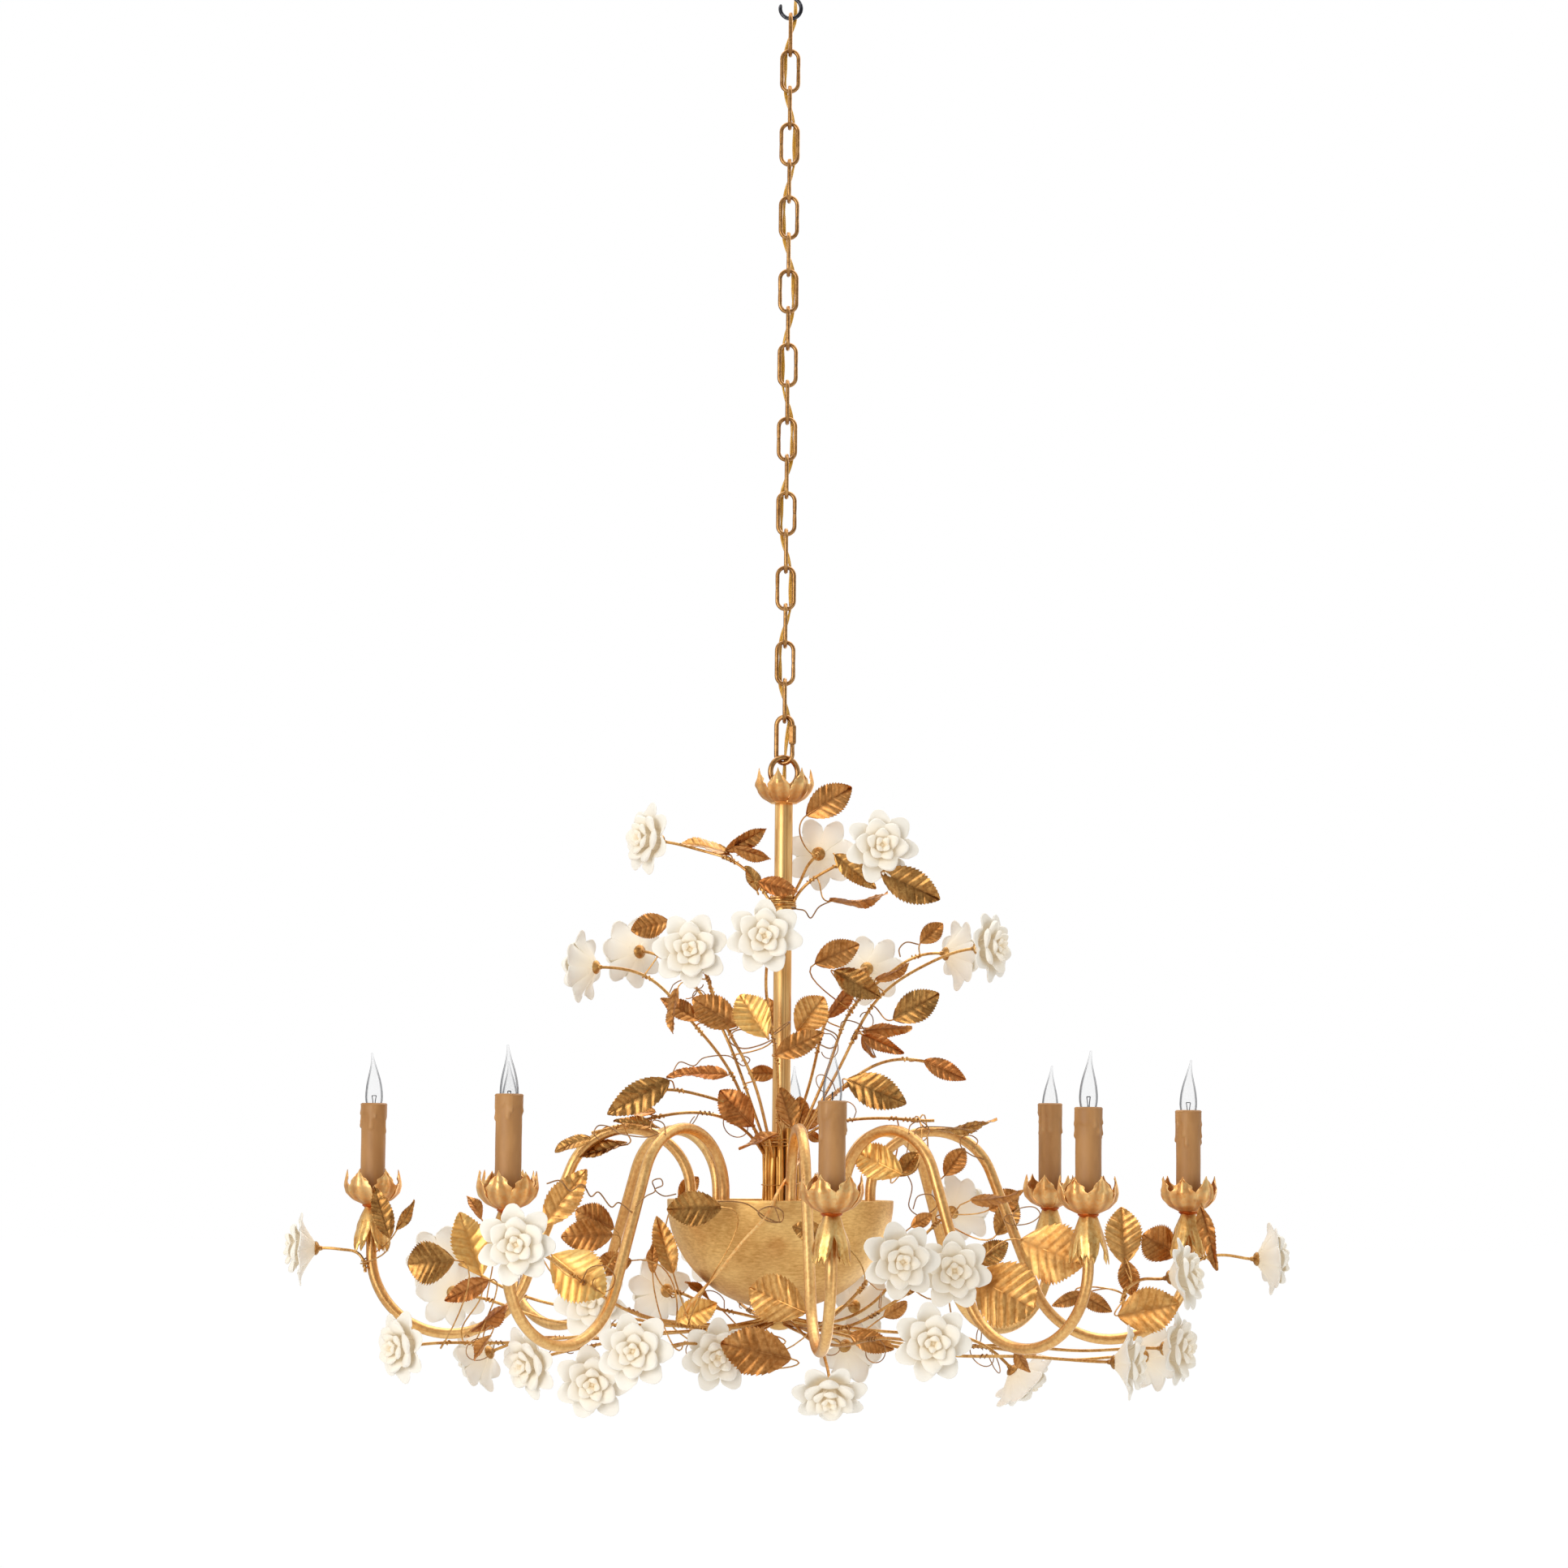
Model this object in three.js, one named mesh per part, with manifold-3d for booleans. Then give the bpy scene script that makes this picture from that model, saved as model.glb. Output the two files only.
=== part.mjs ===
// A multi-arm chandelier: a hook, a chain of bent links, a quick link and a tiered fixture of
// tubular arms with candle lamps, wreathed in wire stems that carry porcelain blossoms and
// pressed leaves. Millimetres, +Z up, origin on the ceiling face that the hook is fixed to.
import * as THREE from "three";
import { mergeVertices } from "three/addons/utils/BufferGeometryUtils.js";
import Module from "manifold-3d";

const wasm = await Module();
wasm.setup();

// ---------------------------------------------------------------- driving dimensions
const SEAT_GAP = 0.3; // clearance left where two pieces touch
const TURNED_SEAT = 0.7; // the same where two bends cross out of square and bear at their sides

const HOOK_WIRE = 4; // diameter of the hook's rod
const HOOK_EYE = 17; // inside diameter of the hook
const HOOK_DROP = 46; // ceiling face to the middle of the rod at the bottom of the bend
const HOOK_TIP = 158; // bearing of the open tip, degrees round from the right-hand side
const HOOK_HEEL = 405; // and of the other end of the bend, where the shank begins
const HOOK_COLLAR = { radius: 6, height: 2.5 };

const LINK_COUNT = 19;
const LINK_WIRE = 4.1;
const LINK_PITCH = 37.5; // from one link's middle to the next one's
const LINK_WIDTH = 20.6; // outside width
const LINK_SEAM = 0.4; // the butt joint where the bent wire's ends meet

const QUICK_WIRE = 4.6;
const QUICK_LENGTH = 51; // outside length
const QUICK_WIDTH = 22;
const QUICK_TURN = -25; // degrees that the quick link stands round from the front
const QUICK_MOUTH = 8; // the opening that its nut closes
const NUT_LENGTH = 18.6;
const NUT_ACROSS = 8; // across the corners
const NUT_CLEARANCE = 0.35; // round the wire
const NUT_LAP = 2; // how far the closed nut covers the wire above the mouth

const LOOP_WIRE = 5.4;
const LOOP_DIAMETER = 35; // outside
const LOOP_TURN = 25;
const LOOP_NECK = { diameter: 9, length: 11 }; // between the ring and the cup's floor
const LOOP_PLUG = 9; // length of the plug below the cup, in the stem

const CORD_DIAMETER = 4.2;
const CORD_AWAY = 4.7; // how far the cord stands off the chain's two planes where links cross
const CORD_INSIDE = 3; // and how far behind the middle it goes through an edge-on link
const CORD_TAIL = 22; // the bare end above the first crossing

const STEM_DIAMETER = 18;
const STEM_WALL = 1.6;
const STEM_TOP = 390; // above the bowl's rim
const STEM_BOTTOM = -14;
const STEM_SIDES = 12;

const TOP_CUP = { base: 13, belly: 25, rim: 27.5, height: 34, notch: 9, lean: 3.5, petals: 6 };
const CUP_WALL = 1.3;
const CUP_FLOOR = 2; // thickness of a cup's floor

const BOWL_RADIUS = 111;
const BOWL_DEPTH = 107;
const BOWL_WALL = 2;
const BOWL_SIDES = 20;
const PLATE_THICKNESS = 2.5; // the plate that closes the bowl and carries the arms
const PLATE_BELOW_RIM = 4;
const FINIAL_RADIUS = 12;
const FINIAL_LENGTH = 20;

const ARM_DIAMETER = 10.5;
const ARM_BEARINGS = [0, 45, 88, 135.5, 180, 232, 276.5, 314.5]; // as bent and brazed by hand
const ARM_ROOT_REACH = 88; // radius at which an arm comes out of the bowl
const ARM_ROOT_DEPTH = 12; // how far it runs down below the plate
const ARM_ARCH_HEIGHT = 68; // top of the arch, above the rim
const ARM_ARCH_RADIUS = 61;
const ARM_REACH = 400; // radius of the candle
const ARM_DIP_RADIUS = 78;
const ARM_DIP_DEPTH = 133; // bottom of the U-bend, below the rim

const CANDLE_CUP = { base: 9, belly: 24, rim: 29.5, height: 30, notch: 9, lean: 1, petals: 6 };
const CUP_FOOT = -8; // where the candle cup's base stands, above the rim
const CALYX = { leaves: 4, length: 46, spread: 15, width: 15, thickness: 1.6 };
const SOCKET_DIAMETER = 18;
const SOCKET_TOP = 80;
const SOCKET_BORE = 12.4;
const SOCKET_DEPTH = 24;

const SLEEVE_DIAMETER = 23.7;
const SLEEVE_BORE = 20.6;
const SLEEVE_TOPS = [91, 101, 92, 96, 91, 96, 91, 89]; // one for each arm, above the rim

const BULB_DIAMETER = 17.4;
const BULB_LENGTH = 80;
const BULB_CAP_DIAMETER = 11.8;
const BULB_CAP_LENGTH = 22;
const BULB_BEND = 3; // how far the tip of the flame leans

const SPREAD = 500; // what places in a spray are given in hundredths of
const WIRE_DIAMETER = 3;
const TWIG_DIAMETER = 1.8; // the finer wire that carries a leaf
const TWIG_ROOTS = { from: 0.15, to: 0.9, tries: 16 }; // shares of a wire where one may grow
const WIRE_SIDES = 3; // facets round a spray's wire
const WIRE_STEPS = 5; // and stations along it
const WIRE_SPRING = 0.45; // how stiffly it leaves its root
const WIRE_EASE = 0.35; // and how gently it comes up to its end
const LOW_FALL = -12; // degrees at which wires leave the finial
const BINDING_THICKNESS = 3; // wire wrapped round the stem where sprays are tied on
const CROWN_BINDING = { foot: 286, height: 12, rise: 62 };
const MIDDLE_BINDING = { foot: 26, height: 22, rise: 68 };
const BUNDLE = { rods: 13, rod: 6.6, height: 72 }; // gilded rods packed round the stem's foot

const BLOSSOM = { radius: 37, notch: 27, bud: 19, petals: 7, splay: 14, depth: 11, front: 10 };
const LEAF = { width: 0.56, fold: 0.3, arch: 0.05, thickness: 1.6 };

// ---------------------------------------------------------------- where things stand
const hookBend = -HOOK_DROP;
const linkInner = LINK_PITCH + SEAT_GAP;
const linkLength = linkInner + LINK_WIRE; // centreline to centreline
const firstLink = hookBend + HOOK_WIRE / 2 + SEAT_GAP + LINK_WIRE / 2 - linkLength / 2;
const linkMiddle = (number) => firstLink - (number - 1) * LINK_PITCH;
const lastBar = linkMiddle(LINK_COUNT) - linkLength / 2;
const quickTop = lastBar + LINK_WIRE / 2 + TURNED_SEAT + QUICK_WIRE / 2;
const quickBottom = quickTop - (QUICK_LENGTH - QUICK_WIRE);
const loopTop = quickBottom + QUICK_WIRE / 2 + TURNED_SEAT + LOOP_WIRE / 2;
const loopRadius = (LOOP_DIAMETER - LOOP_WIRE) / 2;
const cupFloor = loopTop - 2 * loopRadius - LOOP_WIRE / 2 - LOOP_NECK.length; // its upper side
const stemTop = cupFloor - CUP_FLOOR - SEAT_GAP;
const rim = stemTop - STEM_TOP; // height of the bowl's rim

const radians = THREE.MathUtils.degToRad;

// A place given by its bearing round the axis, its distance from it and its height above the rim.
function place(bearing, reach, height) {
  const angle = radians(bearing);
  return new THREE.Vector3(reach * Math.cos(angle), reach * Math.sin(angle), rim + height);
}

// A direction given by its bearing and by how far it points above the horizontal.
function direction(bearing, tilt) {
  const level = Math.cos(radians(tilt));
  const angle = radians(bearing);
  return new THREE.Vector3(level * Math.cos(angle), level * Math.sin(angle), Math.sin(radians(tilt)));
}

// ---------------------------------------------------------------- solids
// Closed geometry as a manifold-3d solid.
function solid(geometry) {
  const bare = geometry.clone();
  bare.deleteAttribute("normal");
  bare.deleteAttribute("uv");
  const merged = mergeVertices(bare, 1e-4);
  return new wasm.Manifold(
    new wasm.Mesh({
      numProp: 3,
      vertProperties: merged.attributes.position.array,
      triVerts: new Uint32Array(merged.index.array),
    }),
  );
}

// A manifold-3d solid as geometry.
function geometryOf(made) {
  const mesh = made.getMesh();
  const geometry = new THREE.BufferGeometry();
  geometry.setAttribute("position", new THREE.BufferAttribute(mesh.vertProperties, 3));
  geometry.setIndex(new THREE.BufferAttribute(mesh.triVerts, 1));
  geometry.computeVertexNormals();
  return geometry;
}

function join(geometries) {
  return geometryOf(geometries.map(solid).reduce((whole, next) => whole.add(next)));
}

function cut(geometry, tools) {
  return geometryOf(tools.map(solid).reduce((whole, tool) => whole.subtract(tool), solid(geometry)));
}

// ---------------------------------------------------------------- shapes
// A path through given stations, so that a sweep has a section at each one and none between.
class Stations extends THREE.Curve {
  constructor(points) {
    super();
    this.points = points;
  }

  getPoint(t, target = new THREE.Vector3()) {
    const along = t * (this.points.length - 1);
    const from = Math.min(Math.floor(along), this.points.length - 2);
    return target.lerpVectors(this.points[from], this.points[from + 1], along - from);
  }

  getPointAt(u, target) {
    return this.getPoint(u, target);
  }

  getTangentAt(u, target = new THREE.Vector3()) {
    const last = this.points.length - 1;
    const at = Math.round(u * last);
    const run = (from, to) => this.points[to].clone().sub(this.points[from]).normalize();
    const before = run(Math.max(at - 1, 0), Math.max(at, 1));
    const after = run(Math.min(at, last - 1), Math.min(at + 1, last));
    return target.copy(before.add(after).normalize());
  }
}

// A round rod swept through stations.
function rod(points, diameter, sides) {
  const section = new THREE.Shape(
    Array.from({ length: sides }, (_, i) => {
      const angle = ((i + 0.5) * 2 * Math.PI) / sides;
      return new THREE.Vector2((Math.cos(angle) * diameter) / 2, (Math.sin(angle) * diameter) / 2);
    }),
  );
  return new THREE.ExtrudeGeometry(section, {
    steps: points.length - 1,
    curveSegments: 1,
    extrudePath: new Stations(points),
  });
}

// Points on an arc in the XZ plane, angles in degrees round from +X towards +Z.
function arc(x, z, radius, from, to, steps) {
  return Array.from({ length: steps + 1 }, (_, i) => {
    const angle = radians(from + ((to - from) * i) / steps);
    return new THREE.Vector3(x + radius * Math.cos(angle), 0, z + radius * Math.sin(angle));
  });
}

// The corner radius of a regular polygon that clears a circle.
const around = (radius, sides) => radius / Math.cos(Math.PI / sides);

// A body of revolution from [radius, height] pairs, bottom to top up the outside.
function turned(profile, segments) {
  return new THREE.LatheGeometry(
    profile.map(([radius, height]) => new THREE.Vector2(radius, height)),
    segments,
  ).rotateX(Math.PI / 2);
}

// Triangles that join a ring of points to a ring, or to one point, whose count divides its own.
function band(faces, lower, upper) {
  const share = lower.length / upper.length;
  upper.forEach((tip, j) => {
    for (let i = 0; i < share; i += 1) {
      const here = j * share + i;
      faces.push(lower[here], lower[(here + 1) % lower.length], tip);
    }
    if (upper.length > 1) {
      faces.push(lower[((j + 1) * share) % lower.length], upper[(j + 1) % upper.length], tip);
    }
  });
}

// The same with the rings' counts the other way round.
function bandDown(faces, lower, upper) {
  const turnedOver = [];
  band(turnedOver, upper, lower);
  for (let i = 0; i < turnedOver.length; i += 3) {
    faces.push(turnedOver[i + 1], turnedOver[i], turnedOver[i + 2]);
  }
}

// Geometry of a closed surface from its triangles' corners.
function surface(corners) {
  const geometry = new THREE.BufferGeometry();
  geometry.setAttribute(
    "position",
    new THREE.Float32BufferAttribute(corners.flatMap((corner) => corner.toArray()), 3),
  );
  return mergeVertices(geometry, 1e-4);
}

// ---------------------------------------------------------------- hook, chain and quick link
function hook() {
  const radius = (HOOK_EYE + HOOK_WIRE) / 2;
  const middle = hookBend + radius;
  const bend = arc(0, middle, radius, HOOK_TIP, HOOK_HEEL, 9);
  const shank = [
    new THREE.Vector3(radius * 0.25, 0, middle + radius * 1.15),
    new THREE.Vector3(0, 0, middle + radius * 1.6),
    new THREE.Vector3(0, 0, -HOOK_COLLAR.height / 2),
  ];
  const collar = turned(
    [
      [0, -HOOK_COLLAR.height],
      [HOOK_COLLAR.radius, -HOOK_COLLAR.height],
      [HOOK_COLLAR.radius, 0],
      [0, 0],
    ],
    12,
  );
  return join([rod([...bend, ...shank], HOOK_WIRE, 6), collar]);
}

// A link of bent wire in the XZ plane, its ends meeting half way up the right-hand side.
function chainLink() {
  const radius = (LINK_WIDTH - LINK_WIRE) / 2;
  const straight = linkLength / 2 - radius;
  const points = [
    new THREE.Vector3(radius, 0, LINK_SEAM / 2),
    ...arc(0, straight, radius, 0, 180, 4),
    ...arc(0, -straight, radius, 180, 360, 4),
    new THREE.Vector3(radius, 0, -LINK_SEAM / 2),
  ];
  return rod(points, LINK_WIRE, 5);
}

const quickRadius = (QUICK_WIDTH - QUICK_WIRE) / 2;
const quickStraight = (QUICK_LENGTH - QUICK_WIDTH) / 2; // half the length of a straight side
const nutTop = quickStraight - SEAT_GAP; // above the quick link's middle
const mouthTop = nutTop - NUT_LAP;

function quickLink() {
  const points = [
    new THREE.Vector3(quickRadius, 0, mouthTop),
    ...arc(0, quickStraight, quickRadius, 0, 180, 4),
    ...arc(0, -quickStraight, quickRadius, 180, 360, 4),
    new THREE.Vector3(quickRadius, 0, mouthTop - QUICK_MOUTH),
  ];
  return rod(points, QUICK_WIRE, 6);
}

// The six-sided sleeve nut that closes the quick link's mouth.
function quickLinkNut() {
  const bore = QUICK_WIRE / 2 + NUT_CLEARANCE;
  const nut = new THREE.CylinderGeometry(NUT_ACROSS / 2, NUT_ACROSS / 2, NUT_LENGTH, 6);
  const hole = new THREE.CylinderGeometry(bore, bore, NUT_LENGTH + 2, 8);
  return cut(nut, [hole]).rotateX(Math.PI / 2).translate(quickRadius, 0, nutTop - NUT_LENGTH / 2);
}

// The ring that the fixture hangs by, its neck through the cup and its plug in the stem.
function hangingLoop() {
  const middle = loopTop - loopRadius;
  const ring = rod(arc(0, middle, loopRadius, -86, 266, 12), LOOP_WIRE, 6);
  const neck = LOOP_NECK.diameter / 2;
  const plug = (STEM_DIAMETER / 2 - STEM_WALL) * Math.cos(Math.PI / STEM_SIDES) - SEAT_GAP;
  const under = stemTop - SEAT_GAP;
  const shank = turned(
    [
      [0, under - LOOP_PLUG],
      [plug, under - LOOP_PLUG],
      [plug, under],
      [neck, under],
      [neck, middle - loopRadius],
      [0, middle - loopRadius],
    ],
    8,
  );
  return join([ring, shank]).rotateZ(radians(LOOP_TURN));
}

// ---------------------------------------------------------------- supply cord
// It hangs behind the chain, crossing through each edge-on link from one side to the other.
function cordRoute() {
  const side = (link) => (link % 4 === 0 ? 1 : -1);
  const points = [
    new THREE.Vector3(CORD_AWAY * side(0), CORD_AWAY + 6, linkMiddle(1) + linkLength / 2 + CORD_TAIL),
  ];
  for (let link = 1; link <= LINK_COUNT; link += 1) {
    const height = linkMiddle(link);
    if (link % 2 === 1) {
      const above = side(link - 1);
      const below = side(link + 1);
      points.push(
        new THREE.Vector3(CORD_AWAY * above, CORD_AWAY, height + LINK_PITCH / 2),
        new THREE.Vector3(CORD_AWAY * above * 0.45, CORD_INSIDE, height + LINK_PITCH / 6),
        new THREE.Vector3(CORD_AWAY * below * 0.45, CORD_INSIDE, height - LINK_PITCH / 6),
      );
    } else {
      points.push(
        new THREE.Vector3(CORD_AWAY * side(link), CORD_AWAY, height + LINK_PITCH / 2),
        new THREE.Vector3(CORD_AWAY * side(link), CORD_AWAY, height),
      );
    }
  }
  const below = side(LINK_COUNT + 1);
  points.push(
    new THREE.Vector3(CORD_AWAY * below, CORD_AWAY + 0.6, lastBar + 1),
    new THREE.Vector3(CORD_AWAY * below, CORD_AWAY + 1.5, quickTop - QUICK_WIRE),
    new THREE.Vector3(2.2, CORD_AWAY + 1, (quickTop + quickBottom) / 2),
    new THREE.Vector3(0.8, CORD_AWAY + 3, loopTop),
    new THREE.Vector3(0.4, CORD_AWAY + 1, loopTop - loopRadius * 0.7),
    new THREE.Vector3(0, CORD_AWAY + 1.4, loopTop - loopRadius * 1.9),
    new THREE.Vector3(0, LOOP_NECK.diameter / 2 + CORD_DIAMETER, cupFloor + SEAT_GAP + CORD_DIAMETER / 2),
  );
  return points;
}

// ---------------------------------------------------------------- cups
// A bowl of overlapping petals: the rim rises to a point at each petal and falls between them.
function petalCup({ base, belly, rim: lip, height, notch, lean, petals }, floor, bore) {
  const steps = petals * 2;
  const ring = (radius, at, shape) =>
    Array.from({ length: steps }, (_, i) => {
      const angle = (i * 2 * Math.PI) / steps;
      const [out, up] = shape ? shape(i % 2) : [0, 0];
      return new THREE.Vector3(
        (radius + out) * Math.cos(angle),
        (radius + out) * Math.sin(angle),
        at + up,
      );
    });
  // each petal's tip leans in, and the rim falls away to a notch beside it
  const petal = (step) => (step ? [0, -notch] : [-lean, 0]);
  const outside = [
    ring(base, floor),
    ring(belly, floor + height * 0.34),
    ring(lip, floor + height, petal),
  ];
  const inside = [
    ring(lip - CUP_WALL, floor + height - CUP_WALL * 0.2, petal),
    ring(belly - CUP_WALL, floor + height * 0.34 + CUP_WALL * 0.5),
    ring(base * 0.9, floor + CUP_FLOOR),
  ];
  const faces = [];
  const rings = [...outside, ...inside];
  for (let i = 1; i < rings.length; i += 1) {
    band(faces, rings[i - 1], rings[i]);
  }
  if (bore) {
    const under = ring(bore, floor);
    const over = ring(bore, floor + CUP_FLOOR);
    band(faces, rings.at(-1), over);
    band(faces, over, under);
    band(faces, under, rings[0]);
  } else {
    band(faces, rings.at(-1), [new THREE.Vector3(0, 0, floor + CUP_FLOOR)]);
    bandDown(faces, [new THREE.Vector3(0, 0, floor)], rings[0]);
  }
  return surface(faces);
}

// ---------------------------------------------------------------- bowl
function bowl() {
  const quarter = (radius, depth, steps) =>
    Array.from({ length: steps }, (_, i) => {
      const angle = radians((90 * (i + 1)) / steps);
      return [radius * Math.sin(angle), -depth * Math.cos(angle)];
    });
  const outside = quarter(BOWL_RADIUS, BOWL_DEPTH, 6);
  const inside = quarter(BOWL_RADIUS - BOWL_WALL, BOWL_DEPTH - BOWL_WALL, 4).reverse();
  const shell = turned(
    [
      [0, -BOWL_DEPTH],
      ...outside,
      ...inside,
      [0, BOWL_WALL - BOWL_DEPTH],
    ],
    BOWL_SIDES,
  );
  const plateTop = -PLATE_BELOW_RIM;
  const plateUnder = plateTop - PLATE_THICKNESS;
  const plateRadius = BOWL_RADIUS - BOWL_WALL / 2;
  const plate = turned(
    [
      [0, plateUnder],
      [plateRadius, plateUnder],
      [plateRadius, plateTop],
      [0, plateTop],
    ],
    BOWL_SIDES,
  );
  const finial = turned(
    [
      [0, -BOWL_DEPTH - FINIAL_LENGTH],
      [FINIAL_RADIUS * 0.6, -BOWL_DEPTH - FINIAL_LENGTH + 2],
      [FINIAL_RADIUS, -BOWL_DEPTH - FINIAL_LENGTH + 5],
      [FINIAL_RADIUS, -BOWL_DEPTH + BOWL_WALL / 2],
      [0, -BOWL_DEPTH + BOWL_WALL / 2],
    ],
    12,
  );
  const holes = ARM_BEARINGS.map((bearing) => {
    const radius = around(ARM_DIAMETER / 2 + SEAT_GAP, 6);
    return new THREE.CylinderGeometry(radius, radius, 4 * PLATE_THICKNESS, 6)
      .rotateX(Math.PI / 2)
      .translate(ARM_ROOT_REACH, 0, plateTop)
      .rotateZ(radians(bearing));
  });
  const stemRadius = around(STEM_DIAMETER / 2 + SEAT_GAP, STEM_SIDES);
  holes.push(
    new THREE.CylinderGeometry(stemRadius, stemRadius, 4 * PLATE_THICKNESS, STEM_SIDES)
      .rotateX(Math.PI / 2)
      .translate(0, 0, plateTop),
  );
  return cut(join([shell, plate, finial]), holes).translate(0, 0, rim);
}

// A tube with its top open for the cord.
function stem() {
  const outer = STEM_DIAMETER / 2;
  const inner = outer - STEM_WALL;
  return turned(
    [
      [inner, STEM_BOTTOM],
      [outer, STEM_BOTTOM],
      [outer, STEM_TOP],
      [inner, STEM_TOP],
      [inner, STEM_BOTTOM],
    ],
    STEM_SIDES,
  ).translate(0, 0, rim);
}

// ---------------------------------------------------------------- arms
// Centreline of an arm in the XZ plane: up out of the bowl, over an arch, straight down the
// tangent that the arch and the dip share, round the dip and up to the candle.
function armLine() {
  const archMiddle = { x: ARM_ROOT_REACH + ARM_ARCH_RADIUS, z: ARM_ARCH_HEIGHT - ARM_ARCH_RADIUS };
  const dipMiddle = { x: ARM_REACH - ARM_DIP_RADIUS, z: ARM_DIP_RADIUS - ARM_DIP_DEPTH };
  const away = { x: dipMiddle.x - archMiddle.x, z: dipMiddle.z - archMiddle.z };
  const slope =
    Math.atan2(away.z, away.x) -
    Math.asin((ARM_ARCH_RADIUS + ARM_DIP_RADIUS) / Math.hypot(away.x, away.z));
  const leaves = THREE.MathUtils.radToDeg(slope) + 90; // where the straight leaves the arch
  return [
    new THREE.Vector3(ARM_ROOT_REACH, 0, -PLATE_BELOW_RIM - ARM_ROOT_DEPTH),
    ...arc(archMiddle.x, archMiddle.z, ARM_ARCH_RADIUS, 180, leaves, 5),
    ...arc(dipMiddle.x, dipMiddle.z, ARM_DIP_RADIUS, leaves - 180, 0, 6),
    new THREE.Vector3(ARM_REACH, 0, CUP_FOOT + 1),
  ];
}

// One drooping leaf of the calyx: a folded blade that hangs down the tube from the cup.
function calyxLeaf(turn) {
  const { length, spread, width, thickness } = CALYX;
  const top = CUP_FOOT + 2;
  const tube = ARM_DIAMETER / 2;
  const spine = [
    [tube - 1.5, top],
    [tube + spread * 0.55, top - length * 0.45],
    [spread + 3, top - length],
  ];
  const widths = [0.45, 1, 0.12].map((share) => (share * width) / 2);
  const row = (sideways, out) =>
    spine.map(([radius, height], i) => new THREE.Vector3(radius + out, sideways * widths[i], height));
  const left = row(1, -thickness * 0.8);
  const right = row(-1, -thickness * 0.8);
  const outer = row(0, thickness * 0.5);
  const inner = row(0, -thickness * 0.9);
  const faces = [];
  const strip = (a, b) => {
    for (let i = 1; i < a.length; i += 1) {
      faces.push(a[i - 1], b[i - 1], a[i], b[i - 1], b[i], a[i]);
    }
  };
  strip(left, outer);
  strip(outer, right);
  strip(right, inner);
  strip(inner, left);
  faces.push(left[0], right[0], outer[0], left[0], inner[0], right[0]);
  faces.push(left.at(-1), outer.at(-1), right.at(-1), left.at(-1), right.at(-1), inner.at(-1));
  return surface(faces).rotateZ(radians(turn)).translate(ARM_REACH, 0, 0);
}

function arm(bearing) {
  const tube = rod(armLine(), ARM_DIAMETER, 6);
  const cup = petalCup(CANDLE_CUP, CUP_FOOT).translate(ARM_REACH, 0, 0);
  const outer = SOCKET_DIAMETER / 2;
  const bore = around(SOCKET_BORE / 2, 6);
  const socket = turned(
    [
      [0, CUP_FOOT + 1],
      [outer, CUP_FOOT + 1],
      [outer, SOCKET_TOP],
      [bore, SOCKET_TOP],
      [bore, SOCKET_TOP - SOCKET_DEPTH],
      [0, SOCKET_TOP - SOCKET_DEPTH],
    ],
    6,
  ).translate(ARM_REACH, 0, 0);
  const calyx = Array.from({ length: CALYX.leaves }, (_, i) => calyxLeaf((360 * (i + 0.5)) / CALYX.leaves));
  return join([tube, cup, socket, ...calyx]).rotateZ(radians(bearing)).translate(0, 0, rim);
}

// ---------------------------------------------------------------- candles
function sleeve(top) {
  const outer = SLEEVE_DIAMETER / 2;
  const bore = SLEEVE_BORE / 2;
  // the sleeve stands where the cup's inside has widened to its outer edge
  const widening = CANDLE_CUP.belly - CUP_WALL - CANDLE_CUP.base * 0.9;
  const rise = CANDLE_CUP.height * 0.34 + CUP_WALL * 0.5 - CUP_FLOOR;
  const bottom =
    CUP_FOOT + CUP_FLOOR + SEAT_GAP + (rise * (outer - CANDLE_CUP.base * 0.9)) / widening;
  return turned(
    [
      [bore, bottom],
      [outer, bottom],
      [outer, top],
      [bore, top],
      [bore, bottom],
    ],
    10,
  );
}

// A bent-tip flame lamp: a screw cap and a glass that swells, narrows and leans at its tip.
function bulb() {
  const foot = SOCKET_TOP - SOCKET_DEPTH + SEAT_GAP;
  const glass = foot + BULB_CAP_LENGTH;
  const glassLength = BULB_LENGTH - BULB_CAP_LENGTH;
  const swell = [
    [1, 0.32],
    [0.86, 0.56],
    [0.42, 0.8],
  ].map(([share, up]) => [(share * BULB_DIAMETER) / 2, glass + up * glassLength]);
  const flame = turned(
    [
      [0, foot],
      [BULB_CAP_DIAMETER / 2, foot],
      [BULB_CAP_DIAMETER / 2, glass],
      ...swell,
      [0, glass + glassLength],
    ],
    8,
  );
  const points = flame.getAttribute("position");
  for (let i = 0; i < points.count; i += 1) {
    const up = Math.max(0, (points.getZ(i) - glass) / glassLength);
    points.setX(i, points.getX(i) + BULB_BEND * up ** 4);
  }
  return flame;
}

// ---------------------------------------------------------------- blossoms and leaves
// Points moved into a frame.
const framed = (points, frame) => points.map((point) => point.clone().applyMatrix4(frame));

// The rings of a porcelain rosette facing +X with its back at the origin: the edge of its open
// petals, parted by notches, the cupped inner petals and its heart.
function blossomRings() {
  const { radius, notch, bud, petals, splay, depth, front } = BLOSSOM;
  const corner = (reach, angle, out) =>
    new THREE.Vector3(out, reach * Math.cos(radians(angle)), reach * Math.sin(radians(angle)));
  const pitch = 360 / petals;
  const petal = Array.from({ length: petals }, (_, i) => i * pitch);
  return [
    petal.flatMap((middle) => [
      corner(radius, middle - splay, depth),
      corner(radius, middle + splay, depth),
      corner(notch, middle + pitch / 2, depth),
    ]),
    petal.map((middle) => corner(bud, middle + pitch / 4, depth + front)),
    [new THREE.Vector3(depth + front * 0.7, 0, 0)],
  ];
}

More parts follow.
